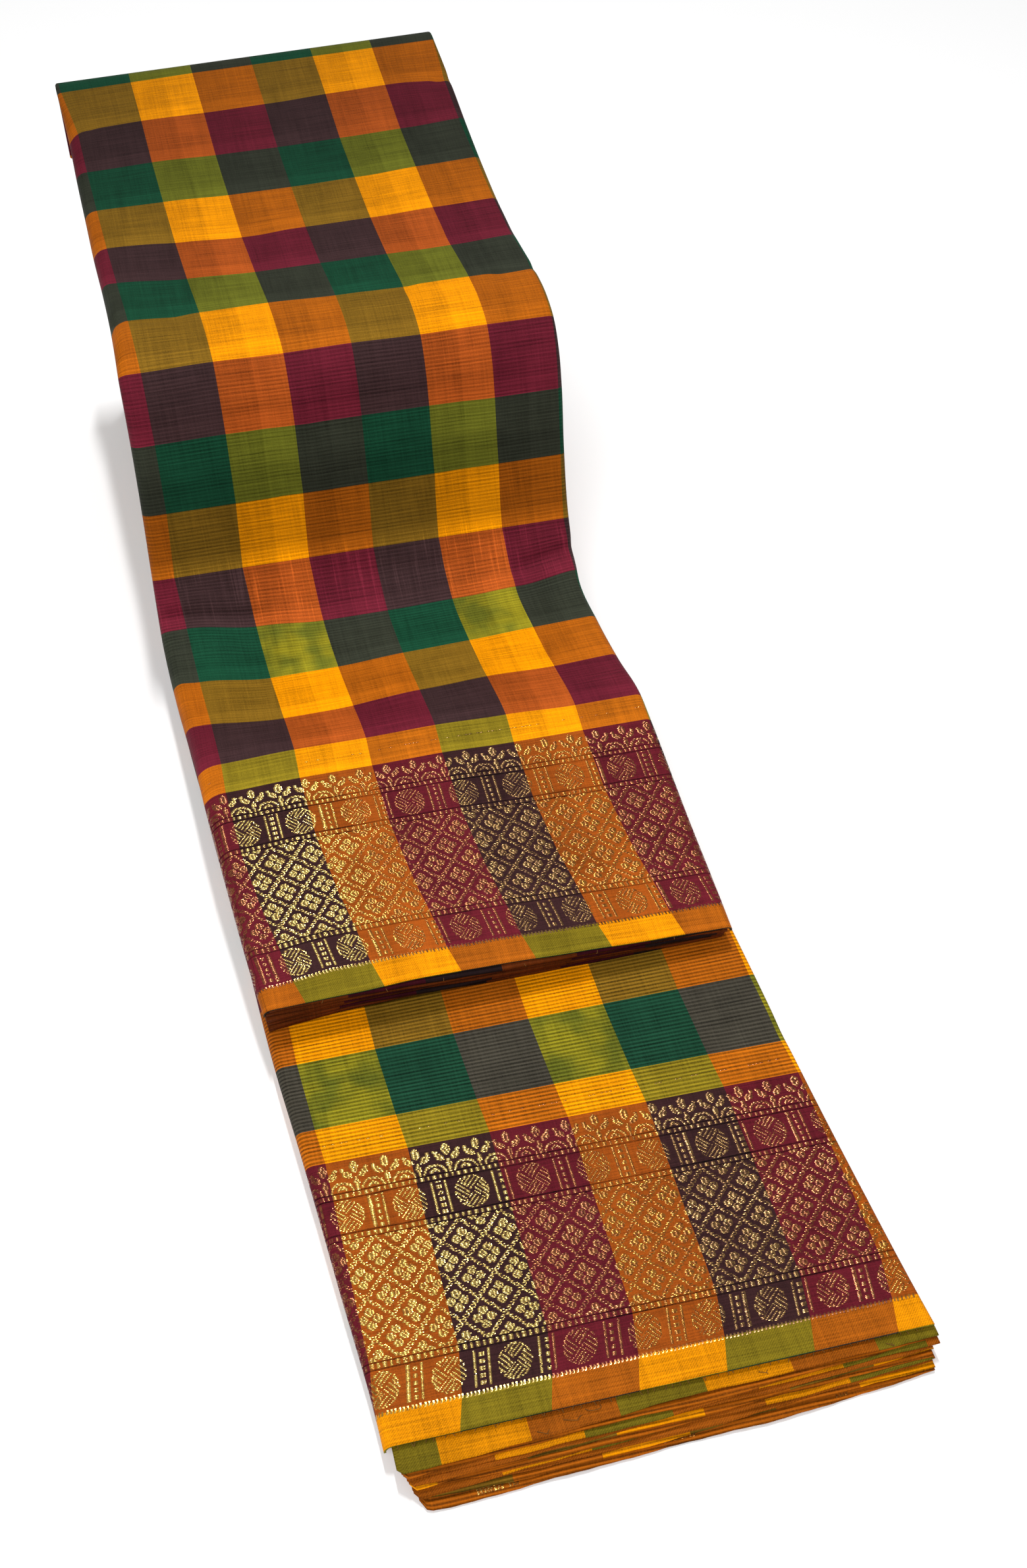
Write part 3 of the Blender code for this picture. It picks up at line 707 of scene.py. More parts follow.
def paint(red, green, blue):
    """A screen colour as the linear one that a material takes."""
    parts = (value / 255 for value in (red, green, blue))
    return tuple(part / 12.92 if part <= 0.04045 else ((part + 0.055) / 1.055) ** 2.4 for part in parts)


# The cloth's colour where each band of thread crosses each column: green, yellow and maroon columns
CHECKS = (
    (paint(20, 66, 45), paint(94, 97, 28), paint(47, 50, 40)),
    (paint(124, 91, 24), paint(226, 139, 1), paint(166, 87, 13)),
    (paint(59, 40, 41), paint(158, 73, 24), paint(97, 27, 41)),
)
FRONT_GREENS = (paint(25, 64, 45), paint(130, 121, 26), paint(64, 60, 51))
NARROW_CHECKS = (paint(132, 114, 26), paint(228, 142, 2), paint(176, 94, 14))
BORDER_GROUND = (paint(54, 31, 32), paint(150, 72, 18), paint(94, 25, 35))
SELVEDGE_CHECKS = (paint(122, 106, 24), paint(224, 139, 4), paint(164, 86, 16))


def check_look(
    name, ribbed, seen_through, brightness=0.84, border=None, profile=(), front=(-2, -1),
    greens=FRONT_GREENS, painted_sheen=None,
):
    look = Look(name)
    column, band = look.split(look.uv("weave"))
    across, along = look.split(look.uv("cloth"))
    column_number, band_number = look.in_threes(column), look.in_threes(band)
    band_floor = look.math("FLOOR", band)
    is_yellow = look.is_number(column_number, 1)
    is_maroon = look.is_number(column_number, 2)
    is_border = look.is_number(band_floor, BORDER_BAND)
    is_selvedge = look.is_number(band_floor, SELVEDGE_BAND)
    cloud = look.noise(look.join(across, along), 0.055)

    def by_column(colours):
        green, yellow, maroon = colours
        return look.mix(is_maroon, look.mix(is_yellow, green, yellow), maroon)

    patchy = look.times(is_yellow, look.smooth_step(cloud, 0.62, 0.35))
    lime = look.times(look.smooth_step(along, *front), look.math("SUBTRACT", 1.0, patchy))
    colour = look.mix(lime, by_column(CHECKS[0]), by_column(greens))
    for here, colours in (
        (look.is_number(band_number, 1), CHECKS[1]),
        (look.is_number(band_number, 2), CHECKS[2]),
        (look.is_number(band_floor, NARROW_BAND), NARROW_CHECKS),
        (is_border, BORDER_GROUND),
        (is_selvedge, SELVEDGE_CHECKS),
    ):
        colour = look.mix(here, colour, by_column(colours))

    # slubs: each weft thread a little lighter or darker along its run, and the warp more faintly
    weft = look.streaks(across, along, 0.035, 1.7, 3.0, 0.6)
    warp = look.streaks(across, along, 1.4, 0.03, 3.0, 0.6)
    long_streak = look.streaks(across, along, 0.32, 0.045)
    fine = look.streaks(across, along, 2.0, 2.6)
    silk = 0.0
    for slubs, amount in ((weft, 1.4), (warp, 0.7), (long_streak, 0.35), (cloud, 0.5), (fine, 0.9)):
        silk = look.plus(silk, look.math("SUBTRACT", slubs, 0.5), amount)

    # the ply below shows through: its columns are half a column to the side, and its bands a little behind
    half = look.smooth_step(look.math("FRACT", column), 0.5, 0.54)
    lighter = look.times(half, look.plus(is_yellow, is_maroon, 0.6))
    band_end = look.smooth_step(look.math("FRACT", band), 0.72, 0.78)
    for shown in (lighter, band_end):
        silk = look.plus(silk, shown, seen_through)

    # ribs: slightly thicker weft threads, clearer on some stretches than on others
    if ribbed == "all":
        where_ribbed = look.plus(0.7, cloud, 1.6)
    else:
        past = look.smooth_step(along, 300.0, 330.0)
        where_ribbed = look.plus(look.smooth_step(along, 165.0, 200.0), past, -0.7)
        where_ribbed = look.math("MAXIMUM", where_ribbed, 0.12)
    before_border = look.math("LESS_THAN", band, float(BORDER_BAND))
    ribs = look.times(look.times(look.wave(along, RIB_PITCH), where_ribbed), before_border)
    silk = look.plus(silk, ribs, RIB_TONES[ribbed])

    twill = look.times(look.wave(look.math("ADD", across, along), TWILL_PITCH), is_selvedge)
    silk = look.plus(silk, twill, 0.16)
    if border:
        start, depth = border
        down = look.times(look.math("SUBTRACT", along, start), BORDER_DEPTH / depth)
        for line in DARK_LINES:
            on_line = look.math("COMPARE", down, line, 0.26)
            silk = look.plus(silk, look.times(on_line, is_border), -0.62)
    # painted sheen: lighter streaks along the warp over a stretch of the lap
    if painted_sheen:
        start, end = painted_sheen
        begun = look.smooth_step(along, start, start + 9)
        inside = look.math("SUBTRACT", begun, look.smooth_step(along, end - 9, end))
        shine = look.times(look.smooth_step(warp, 0.52, 0.66), look.smooth_step(long_streak, 0.42, 0.6))
        silk = look.plus(silk, look.times(inside, shine), 0.5)
    bright = look.times(look.math("ADD", 1.0, silk), brightness)
    # painted light and shade along the lap: each (from, to, factor) row makes the cloth darker or lighter past its
    # place
    for start, end, factor in profile:
        bright = look.times(bright, look.plus(1.0, look.smooth_step(along, start, end), factor - 1))
    look.set(Base_Color=look.node("ShaderNodeHueSaturation", named=(("Value", bright), ("Color", colour))))

    # the threads themselves, over and under each other
    crossing = look.times(look.wave(across, WARP_PITCH), look.wave(along, WEFT_PITCH))
    height = look.plus(look.times(ribs, 0.5), crossing, 0.25)
    height = look.plus(look.plus(height, weft, 0.9), twill, 0.4)
    look.bump(height, 0.00012, 0.6)
    look.set(Roughness=look.node("ShaderNodeMapRange", weft, 0.3, 0.7, 0.5, 0.66))
    look.set(Sheen_Weight=0.012, Sheen_Roughness=0.4, Sheen_Tint=(1.0, 0.93, 0.82, 1))
    look.set(Specular_IOR_Level=0.03)
    return look.material


# Painted light and shade along the upper lap: painted shade over the rear and in the dip below the slope, painted
# light between them: (from, to, factor) along the upper lap
UPPER_PAINTED_SHADING = (
    (-60, -10, 0.72), (0, 170, 1.38), (178, 200, 1.14), (228, 246, 0.62), (268, 282, 1.75), (320, 345, 0.92),
)
UPPER_CHECKS = check_look(
    "checked_silk_cotton_upper", "part", 0.2, border=UPPER_BORDER, profile=UPPER_PAINTED_SHADING,
    front=(296, 304), greens=(CHECKS[0][0], FRONT_GREENS[1], CHECKS[0][2]), painted_sheen=(268, 306),
)
LOWER_CHECKS = check_look("checked_silk_cotton_lower", "all", 0.04, brightness=0.95, border=LOWER_BORDER)

upper_places = across_places(UPPER, 2.0, 1.0)
upper_rows = band_rows((-TURN_LENGTH - TUCKED_UNDER, -26.4, *UPPER_LINES[4:]), 2.0)
upper_cloth = lap_cloth("upper_cloth", UPPER, upper_places, upper_rows, UPPER_BANDS, upper_sag, UPPER_CHECKS)
finish_piece(upper_cloth, "checked_cloth", "upper_lap_cloth")

lower_places = across_places(LOWER, 1.8, 0.9)
lower_rows = band_rows((0.0, 21.1, *LOWER_BODY_LINES[2:], *LOWER_EDGE_LINES[1:]), 1.8)
lower_cloth = lap_cloth("lower_cloth", LOWER, lower_places, lower_rows, LOWER_BANDS, no_sag, LOWER_CHECKS)
finish_piece(lower_cloth, "checked_cloth", "lower_lap_cloth")


# The gold border's repeat, in millimetres: sideways from the first column line, and down from the body
SPRIG_PITCH = 10.45
DISC_PITCH = 20.9
LATTICE_WIDE = 13.93
LATTICE_HIGH = 13.25
EDGE_ROW_AT = 82.9


def repeated(value, middle, pitch):
    """Distance from the nearest of a row of evenly spaced places."""
    return (value - middle + pitch / 2) % pitch - pitch / 2


def oval(across, down, half_wide, half_high):
    return np.hypot(across / half_wide, down / half_high)


def sprigs(u, v):
    """Small leafed sprigs with an arch between each two."""
    off = repeated(u, -1.6, SPRIG_PITCH)
    gold = oval(off, v - 3.0, 1.5, 2.1) < 1
    for side in (-1, 1):
        a, b = side * off - 2.75, v - 5.5
        gold |= oval(a * 0.82 - b * 0.57, a * 0.57 + b * 0.82, 2.0, 1.15) < 1
    gold |= oval(np.abs(off) - 4.0, v - 3.6, 0.85, 0.6) < 1
    gold |= (np.abs(off) < 0.55) & (v > 6.6) & (v < 11.0)
    gold |= oval(off, v - 8.4, 1.05, 1.3) < 1
    arch_off = repeated(u, -1.6 + SPRIG_PITCH / 2, SPRIG_PITCH)
    arch = oval(arch_off, v - 11.3, 4.1, 3.7)
    gold |= (arch > 0.78) & (arch < 1.02) & (v < 11.2)
    inner = oval(arch_off, v - 11.0, 2.0, 1.9)
    gold |= (inner > 0.45) & (inner < 1) & (v < 10.9)
    return gold & (v > 0.4) & (v < 11.2)


def dotted_line(u, v, top):
    return (u % 2.1 < 1.2) & (v > top + 0.25) & (v < top + 1.85)


def disc_row(u, v, middle, radius):
    """Quartered, hatched discs with a ladder between bars midway."""
    off, down = repeated(u, 3.5, DISC_PITCH), v - middle
    inside = np.hypot(off, down) < radius
    upright = np.abs(down) > np.abs(off)
    hatch = np.where(upright, off + down, off - down) % 1.7 < 0.95
    quarter = np.abs(np.abs(off) - np.abs(down)) > 0.3
    gold = inside & hatch & quarter
    gold |= inside & (np.hypot(off, down) > radius - 0.45) & (u % 0.9 < 0.5)
    post = repeated(u, 3.5 + DISC_PITCH / 2, DISC_PITCH)
    tall = np.abs(down) < radius
    gold |= tall & (np.abs(np.abs(post) - 2.27) < 0.5)
    gold |= tall & (np.abs(post) < 0.8) & (v % 2.15 < 1.4)
    return gold


def lattice(u, v):
    """Twisted cords crossing in diamonds, a flower of four petals in each."""
    a, b = (u - 3.48) / LATTICE_WIDE, (v - 34.1) / LATTICE_HIGH
    p, q = a + b, a - b
    twist = (v + 0.25 * u) % 0.95 < 0.66
    gold = ((np.abs(p - np.round(p)) < 0.074) | (np.abs(q - np.round(q)) < 0.066)) & twist
    in_p, in_q = p - np.floor(p) - 0.5, q - np.floor(q) - 0.5
    across = (in_p + in_q) / 2 * LATTICE_WIDE
    down = (in_p - in_q) / 2 * LATTICE_HIGH
    for petal_across, petal_down in ((2.15, 0), (-2.15, 0), (0, 2.15), (0, -2.15)):
        gold |= oval(across - petal_across, down - petal_down, 1.62, 1.45) < 1
    gold &= ~((np.abs(np.abs(across) - np.abs(down)) < 0.2) & (oval(across, down, 3.2, 3.2) < 1))
    edge_bar = (np.abs(repeated(u, 3.5 + LATTICE_WIDE / 2, LATTICE_WIDE)) < 2.2) & (v > 65.9) & (v < 66.8)
    return gold | edge_bar


def is_gold(u, v):
    """Whether the border's chart has gold at a place."""
    gold = (v < 11.2) & sprigs(u, v)
    gold |= dotted_line(u, v, 11.2) | dotted_line(u, v, 25.4) | dotted_line(u, v, 67.4)
    gold |= (np.abs(v - 19.3) < 5.8) & disc_row(u, v, 19.3, 5.65)
    gold |= (v > 27.6) & (v < 67.2) & lattice(u, v)
    gold |= (np.abs(v - 75.7) < 5.8) & disc_row(u, v, 75.7, 5.5)
    return gold


# A cell of the gold's chart, how many cells a float goes over at most, and how high it stands
CELL_WIDE = 0.46
CELL_HIGH = 0.43
FLOAT_CELLS = 3
FLOAT_RISE = 0.06


def gold_floats(name, strip, start, depth, first_line, sag, seed):
    """The border's gold threads: each float a low ridge over up to three cells of the chart."""
    draw = np.random.default_rng(seed)
    left, right = strip.edges(start + depth / 2)
    drift = strip.drift(start + depth / 2)
    from_u = left - drift - first_line - 8
    to_u = right - drift - first_line + 8
    u = np.arange(from_u, to_u, CELL_WIDE)
    v = np.arange(0.2, BORDER_DEPTH - 0.9, CELL_HIGH)
    chart = is_gold(*np.meshgrid(u, v))
    chart &= draw.random(chart.shape) > 0.03
    middles, sizes = [], []
    for row, cells in zip(v, chart):
        edges = np.flatnonzero(np.diff(np.concatenate([[0], cells.astype(int), [0]])))
        for begin, end in zip(edges[::2], edges[1::2]):
            for at in range(begin, end, FLOAT_CELLS):
                count = min(FLOAT_CELLS, end - at)
                middles.append((u[at] + (count - 1) * CELL_WIDE / 2, row))
                sizes.append((count * CELL_WIDE - 0.03, CELL_HIGH - 0.04))
    for at in np.arange(from_u, to_u, 1.3):
        middles.append((at + 0.3 * draw.random(), EDGE_ROW_AT - 0.2 * draw.random()))
        sizes.append((0.62, 1.35))
    for at in np.arange(from_u, to_u, 1.5):
        if draw.random() < 0.3:
            middles.append((at, -6.2 - 0.15 * np.sin(at / 5)))
            sizes.append((1.2, 0.22))
    middles, sizes = np.array(middles), np.array(sizes)
    at = start + middles[:, 1] * depth / BORDER_DEPTH
    edge_left, edge_right = strip.edges(at)
    over = first_line + middles[:, 0] + strip.drift(at)
    radius_left, radius_right = strip.sides
    turn_left, turn_right = strip.turns
    on_cloth = over - sizes[:, 0] / 2 > edge_left + radius_left * (1 - turn_left) + 0.2
    on_cloth &= over + sizes[:, 0] / 2 < edge_right - radius_right * (1 - turn_right) - 0.2
    middles, sizes = middles[on_cloth], sizes[on_cloth]

    def surface(u, v, lift):
        along = start + v * depth / BORDER_DEPTH
        across = first_line + u + strip.drift(along)
        return strip.points(across, along + sag(across, along), lift), strip.column(across, along)

    return join_floats(name, middles, sizes, surface, draw, "checked_cloth")


def join_floats(name, middles, sizes, surface, draw, slot):
    """One mesh of low ridges of gold thread. surface gives the points and weave columns for places on it."""
    count = len(middles)
    wide, high = sizes[:, 0] / 2, sizes[:, 1] / 2
    ridge = wide * 0.92
    lean = (draw.random(count) - 0.5) * 0.5 * high
    corner_u = np.stack([-wide, wide, wide, -wide, -ridge, ridge], axis=1)
    corner_v = np.stack([-high, -high, high, high, lean, lean], axis=1)
    rise = FLOAT_RISE * (0.8 + 0.4 * draw.random((count, 2)))
    lift = np.hstack([np.full((count, 4), 0.015), rise])
    points, columns = surface(middles[:, :1] + corner_u, middles[:, 1:] + corner_v, lift)
    first = 6 * np.arange(count)[:, None]
    quads = ((0, 1, 5, 4), (2, 3, 4, 5), (0, 3, 2, 1))
    faces = [face for quad in quads for face in (first + quad).tolist()]
    faces += [face for end in ((1, 2, 5), (3, 0, 4)) for face in (first + end).tolist()]
    mesh = bpy.data.meshes.new(name)
    mesh.from_pydata(points.reshape(-1, 3).tolist(), [], faces)
    tone = mesh.attributes.new("tone", "FLOAT", "POINT")
    tone.data.foreach_set("value", np.repeat(draw.random(count), 6))
    corner = corner_points(mesh)
    add_uv(mesh, "weave", np.stack([columns.ravel()[corner], np.zeros(len(corner))], axis=1))
    mesh.materials.append(ZARI)
    mesh.update()
    piece = add_object(name, mesh)
    bpy.ops.object.shade_smooth_by_angle(angle=math.radians(62))
    deselect()
    return finish_piece(piece, slot)


def zari_look():
    """Gold-wrapped thread, tinted by the threads that it crosses, with a painted glint: brighter towards the left and
    duller towards the right.
    """
    look = Look("gold_zari_thread")
    column, _ = look.split(look.uv("weave"))
    number = look.in_threes(column)
    tone = look.node("ShaderNodeAttribute", output=2, attribute_name="tone")
    place = look.node("ShaderNodeTexCoord", output=3)
    x, _ = look.split(place)

    def thread(dark, light):
        return look.mix(tone, paint(*dark), paint(*light))

    gold = thread((110, 86, 42), (206, 176, 98))
    # painted glint: the gold on the green columns turns duller to the right
    gold = look.mix(look.smooth_step(x, -0.024, 0.008), gold, thread((82, 56, 34), (146, 112, 66)))
    copper = thread((108, 62, 22), (170, 116, 44))
    # painted glint: the copper on the yellow columns turns brighter and paler at the left
    copper = look.mix(look.smooth_step(x, -0.03, -0.062), copper, thread((132, 88, 32), (216, 176, 82)))
    rose = thread((92, 46, 30), (156, 98, 56))
    colour = look.mix(look.is_number(number, 1), gold, copper)
    colour = look.mix(look.is_number(number, 2), colour, rose)
    rough = look.node("ShaderNodeMapRange", tone, 0.0, 1.0, 0.23, 0.15)
    look.set(Base_Color=colour, Roughness=rough, Metallic=0.72)
    look.bump(look.noise(place, 9000.0, 1.0), 0.00001, 0.4)
    return look.material


ZARI = zari_look()
upper_gold = gold_floats("upper_border_gold", UPPER, *UPPER_BORDER, 0.0, upper_sag, 11)
lower_gold = gold_floats("lower_border_gold", LOWER, *LOWER_BORDER, 4.5, no_sag, 12)


def joined_skin(name, left, right, left_weave, right_weave, material):
    """A closed skin from matching points of the left and right half of each ring. Rings run along the first
    axis. Each strip of faces between two points of a ring has its own place in the weave."""
    points = np.concatenate([left, np.array(right)[:, ::-1]], axis=1)
    weave = np.concatenate([left_weave, np.array(right_weave)[:, ::-1]], axis=1)
    rings, count = points.shape[:2]
    index = np.arange(rings * count).reshape(rings, count)
    beside = np.roll(index, -1, axis=1)
    sides = np.stack([index[:-1], beside[:-1], beside[1:], index[1:]], axis=-1).reshape(-1, 4)
    ends = []
    for row in (0, rings - 1):
        for k in range(count // 2 - 1):
            face = [index[row, at] for at in (k, k + 1, count - 2 - k, count - 1 - k)]
            ends.append(face if row else face[::-1])
    ends = np.array(ends)
    points = points.reshape(-1, 3)
    mesh = bpy.data.meshes.new(name)
    mesh.from_pydata(points.tolist(), [], sides.tolist() + ends.tolist())
    own, after = weave[:-1], weave[1:]
    side_uvs = np.stack([own, own, after, after], axis=2).reshape(-1, 2)
    end_uvs = weave.reshape(-1, 2)[ends]
    end_uvs[:, :, 0] = points[ends][:, :, 0] / (COLUMN_WIDTH * MM)
    end_uvs[:, :, 1] = end_uvs[:, :1, 1]
    uvs = np.concatenate([side_uvs, end_uvs.reshape(-1, 2)])
    add_uv(mesh, "weave", uvs)
    add_uv(mesh, "cloth", uvs * COLUMN_WIDTH)
    mesh.materials.append(material)
    mesh.update()
    piece = add_object(name, mesh)
    bpy.ops.object.mode_set(mode="EDIT")
    bpy.ops.mesh.select_all(action="SELECT")
    bpy.ops.mesh.normals_make_consistent(inside=False)
    bpy.ops.object.mode_set(mode="OBJECT")
    bpy.ops.object.shade_smooth_by_angle(angle=math.radians(50))
    deselect()
    return piece


PLY_PARTS = (0.06, 0.2, 0.5, 0.8, 0.94)


def ply_profile(plies, seed, crease, loose):
    """Down a stack's side: how far through the stack each point is, its ply, and how far it lies in."""
    draw = np.random.default_rng(seed)
    thick = 0.75 + 0.5 * draw.random(plies)
    tops = np.concatenate([[0.0], np.cumsum(thick)]) / thick.sum()
    inset = loose * draw.random(plies)
    parts = np.array(PLY_PARTS)
    bulge = np.sqrt(1 - (2 * parts - 1) ** 2)
    through = (tops[:-1, None] + parts * np.diff(tops)[:, None]).ravel()
    lies_in = (inset[:, None] + crease * (1 - bulge)).ravel()
    ply = np.repeat(np.arange(plies), len(parts))
    return through, ply, lies_in, draw.random(plies)


def wander(along, ply, seed, size):
    """Each ply's edge drifts in and out a little along the strip."""
    return size * (0.5 + 0.5 * np.sin(along / 47.0 + 2.3 * ply + seed))


# The upper lap's inner plies begin this deep, and leave this gap between their two runs
STACK_TOP = 2.9
NEST_GAP = 0.25
# How deep the upper lap's layers reach, at three places along it
LAYERS_ALONG = (0, 268, 300)
LAYERS_DEEP = (20, 20, 30)


def stack_bottom(x, along):
    """How deep the upper lap's layers reach, over the tucked cloth, the pack or the lower lap."""
    deep = np.interp(along, LAYERS_ALONG, LAYERS_DEEP)
    if along < TUCKED_UNDER + 2:
        deep -= 2.1
    return np.minimum(deep, UPPER.depth_of(x, along, STEP_FLOOR + 0.2))


def round_fold(x, depth, turned):
    """Places inside the rear fold, this far round it."""
    _, _, out_ahead, out_up, *_ = UPPER.spots(0.0)
    ahead, height = UPPER.below(x, 0.0, TURN_RADIUS)
    radius = TURN_RADIUS - depth
    ahead = ahead + radius * (out_ahead * math.cos(turned) - out_up * math.sin(turned))
    height = height + radius * (out_up * math.cos(turned) + out_ahead * math.sin(turned))
    return world(x, ahead, height)


def upper_stack(name, plies, material):
    """The upper lap's inner plies. Each runs back along the lap, round the rear fold and forward again."""
    through, ply, lies_in, colour = ply_profile(plies, 21, 0.5, 1.3)
    rows_left, rows_right, weave = [], [], []

    def add_row(along, turned):
        """The plies' points at a place along the lap. turned is the angle gone round the rear fold."""
        in_fold = 0 < turned < math.pi
        left, right = UPPER.edges(along)
        drawn_in = 0.7 + (1.4 if in_fold or along < TUCKED_UNDER + 6 else 0.0)
        for side, sign, rows in ((left, 1, rows_left), (right, -1, rows_right)):
            x = side + sign * (drawn_in + lies_in + wander(along, ply, 3.0 + sign, 0.8))
            first, last = STACK_TOP, TURN_RADIUS - NEST_GAP
            if turned == math.pi:
                first = stack_bottom(x, along)
                last = np.minimum(TURN_RADIUS + NEST_GAP, first - 0.5)
            depth = first + through * (last - first)
            if in_fold:
                rows.append(round_fold(x, depth, turned))
            else:
                rows.append(world(x, *UPPER.below(x, along, depth)))
        run = TURN_RADIUS * turned if in_fold else -along
        bands = run / COLUMN_WIDTH + 5 * colour[(ply + 3) % plies] + 6
        weave.append(np.stack([3 * colour[ply], bands], axis=-1))

    flat = steps(0, UPPER.length - STEP_BEGIN - 1, 5.0)
    for along in flat[::-1]:
        add_row(along, 0.0)
    for turned in steps(0, math.pi, 0.3)[1:-1]:
        add_row(0.0, turned)
    for along in flat:
        add_row(along, math.pi)
    return joined_skin(name, rows_left, rows_right, weave, weave, material)


def lower_stack(name, plies, material):
    """The lower lap's inner plies, flat on the floor."""
    through, ply, lies_in, colour = ply_profile(plies, 31, 0.45, 1.0)
    rows_left, rows_right, weave = [], [], []
    for along in steps(0.5, LOWER.length - FAN_BEGIN - 1, 5.0):
        left, right = LOWER.edges(along)
        for side, sign, rows in ((left, 1, rows_left), (right, -1, rows_right)):
            x = side + sign * (0.5 + lies_in + wander(along, ply, 5.0 + sign, 0.7))
            ahead, top = LOWER.below(x, along, 0.0)
            rows.append(world(x, ahead, (1 - through) * (top - 1.6)))
        bands = -along / COLUMN_WIDTH + 5 * colour[(ply + 4) % plies] + 20
        weave.append(np.stack([3 * colour[ply], bands], axis=-1))
    return joined_skin(name, rows_left, rows_right, weave, weave, material)


PACK_LEFT = -6.5
PACK_RIGHT = 165.5
PACK_REAR = -12.0
PACK_CORNER = 12.0
PACK_FOLDS = 11
PLIES_PER_FOLD = 4
# The pack follows the upper lap's underside, which is read along two lines
PACK_LINES = (-10.0, 170.0)


def under_line(x):
    """Just below the upper lap at x: places along its top stretch and down its front, ahead and height."""
    along = np.concatenate([[8.0], steps(12, 284, 3.0)])
    depth = np.interp(along, LAYERS_ALONG, LAYERS_DEEP) + 0.7
    return along, *UPPER.below(x, along, depth)


def read_lines(x, at, lines):
    """What two lines read at a place, shared out between them at x."""
    left, right = (np.interp(at, *line) for line in lines)
    return left + (right - left) * (x - PACK_LINES[0]) / (PACK_LINES[1] - PACK_LINES[0])


def round_corner(x, ahead, side, sign, rear, front):
    """A place on the pack's outline, drawn in where one of the rounded corners is."""
    from_side, from_end = abs(x - side), min(ahead - rear, front - ahead)
    if max(from_side, from_end) >= PACK_CORNER:
        return x, ahead
    in_side, in_end = PACK_CORNER - from_side, PACK_CORNER - from_end
    reach = max(in_side, in_end) / max(math.hypot(in_side, in_end), 1e-9)
    from_end = PACK_CORNER - in_end * reach
    x = side + sign * (PACK_CORNER - in_side * reach)
    return x, rear + from_end if ahead - rear < front - ahead else front - from_end


def pack_stack(name, material):
    """The rest of the sari, folded into a pack: folds of several plies, with rounded corners."""
    through, ply, lies_in, colour = ply_profile(PACK_FOLDS * PLIES_PER_FOLD, 41, 0.55, 1.1)
    fold_part = (through * PACK_FOLDS) % 1.0
    lies_in = lies_in + 1.3 * (1 - np.sqrt(np.clip(1 - (2 * fold_part - 1) ** 2, 0, 1)))
    lies_in = lies_in + 0.9 * colour[ply // PLIES_PER_FOLD]
    lines = [under_line(x) for x in PACK_LINES]
    tops = [(ahead[along <= 192], height[along <= 192]) for along, ahead, height in lines]
    fronts = [(-height[along > 150], ahead[along > 150]) for along, ahead, height in lines]
    outline = [(share, "rear") for share in steps(0.5, 0.0, 0.1)[:-1]]
    outline += [(share, "side") for share in steps(0.0, 1.0, 0.045)]
    outline += [(share, "front") for share in steps(0.0, 0.5, 0.1)[1:]]
    rows_left, rows_right, weave_left, weave_right = [], [], [], []
    for level in range(len(through)):
        inset, own, risen = lies_in[level], colour[ply[level]], 1 - through[level]
        left, right, rear = PACK_LEFT + inset, PACK_RIGHT - inset, PACK_REAR + 0.8 * inset
        halves = ((left, 1, rows_left, weave_left), (right, -1, rows_right, weave_right))
        for side, sign, rows, weaves in halves:
            side = side + sign * wander(60.0, ply[level], 7.0 + sign, 0.8)
            highest = read_lines(side, 170.0, tops)
            front = read_lines(side, -risen * highest, fronts) - 1.4 - 0.8 * inset
            places, weave = [], []
            for share, stretch in outline:
                x, ahead = side, rear + share * (front - rear)
                if stretch != "side":
                    x, ahead = side + share * (right - left) * sign, rear if stretch == "rear" else front
                x, ahead = round_corner(x, ahead, side, sign, rear, front)
                places.append((x, ahead))
                if stretch == "side":
                    weave.append((3 * own, ahead / COLUMN_WIDTH + 5 * own + 6))
                else:
                    weave.append((x / COLUMN_WIDTH + 6, round(9 * own) + 0.5))
            x, ahead = np.array(places).T
            rows.append(world(x, ahead, risen * (read_lines(x, ahead, tops) - 0.3)))
            weaves.append(weave)
    return joined_skin(name, rows_left, rows_right, weave_left, weave_right, material)


# a little darker than the laps' cloth: painted shade between the folded plies
INNER_CHECKS = check_look("checked_silk_cotton_folded", "all", 0.0, brightness=0.78)
# painted shade: a much darker copy of the checks, for the plies in the recess below the upper lap's front edge
SHADED_CHECKS = check_look("checked_silk_cotton_painted_shade", "part", 0.0, brightness=0.3)
finish_piece(upper_stack("upper_folds", 7, INNER_CHECKS), "inner_layers", "upper_lap_layers")
finish_piece(lower_stack("lower_folds", 9, INNER_CHECKS), "inner_layers", "lower_lap_layers")
finish_piece(pack_stack("folded_rest", INNER_CHECKS), "folded_pack", "pack_layers")


def ply_sheet(name, points, columns, x, along, band, material, thick, *replaced):
    """One thin ply whose edge shows, all in one part of a band of the weave."""
    bands = np.tile(band, (len(points) - 1, 1))
    piece = fill_grid(name, points, columns, bands, np.stack([x, along], axis=-1), material, thick)
    return finish_piece(piece, "selvedge_plies", *replaced)


# The plies below the upper lap's front edge, from the top: how far each falls short of it, how far its sides
# lie in, and how much its edge waves
UPPER_PLIES = (
    Ply(0.2, 0.2, 0.8, 0.2),
    Ply(0.5, -0.2, 0.6, 0.3),
    Ply(0.6, -0.5, 1.2, 0.4),
    Ply(0.8, -0.2, 1.6, 0.4),
    Ply(0.9, -0.6, 1.0, 0.5),
    Ply(1.2, -0.3, 1.4, 0.4),
    Ply(1.5, -0.5, 2.0, 0.5),
)
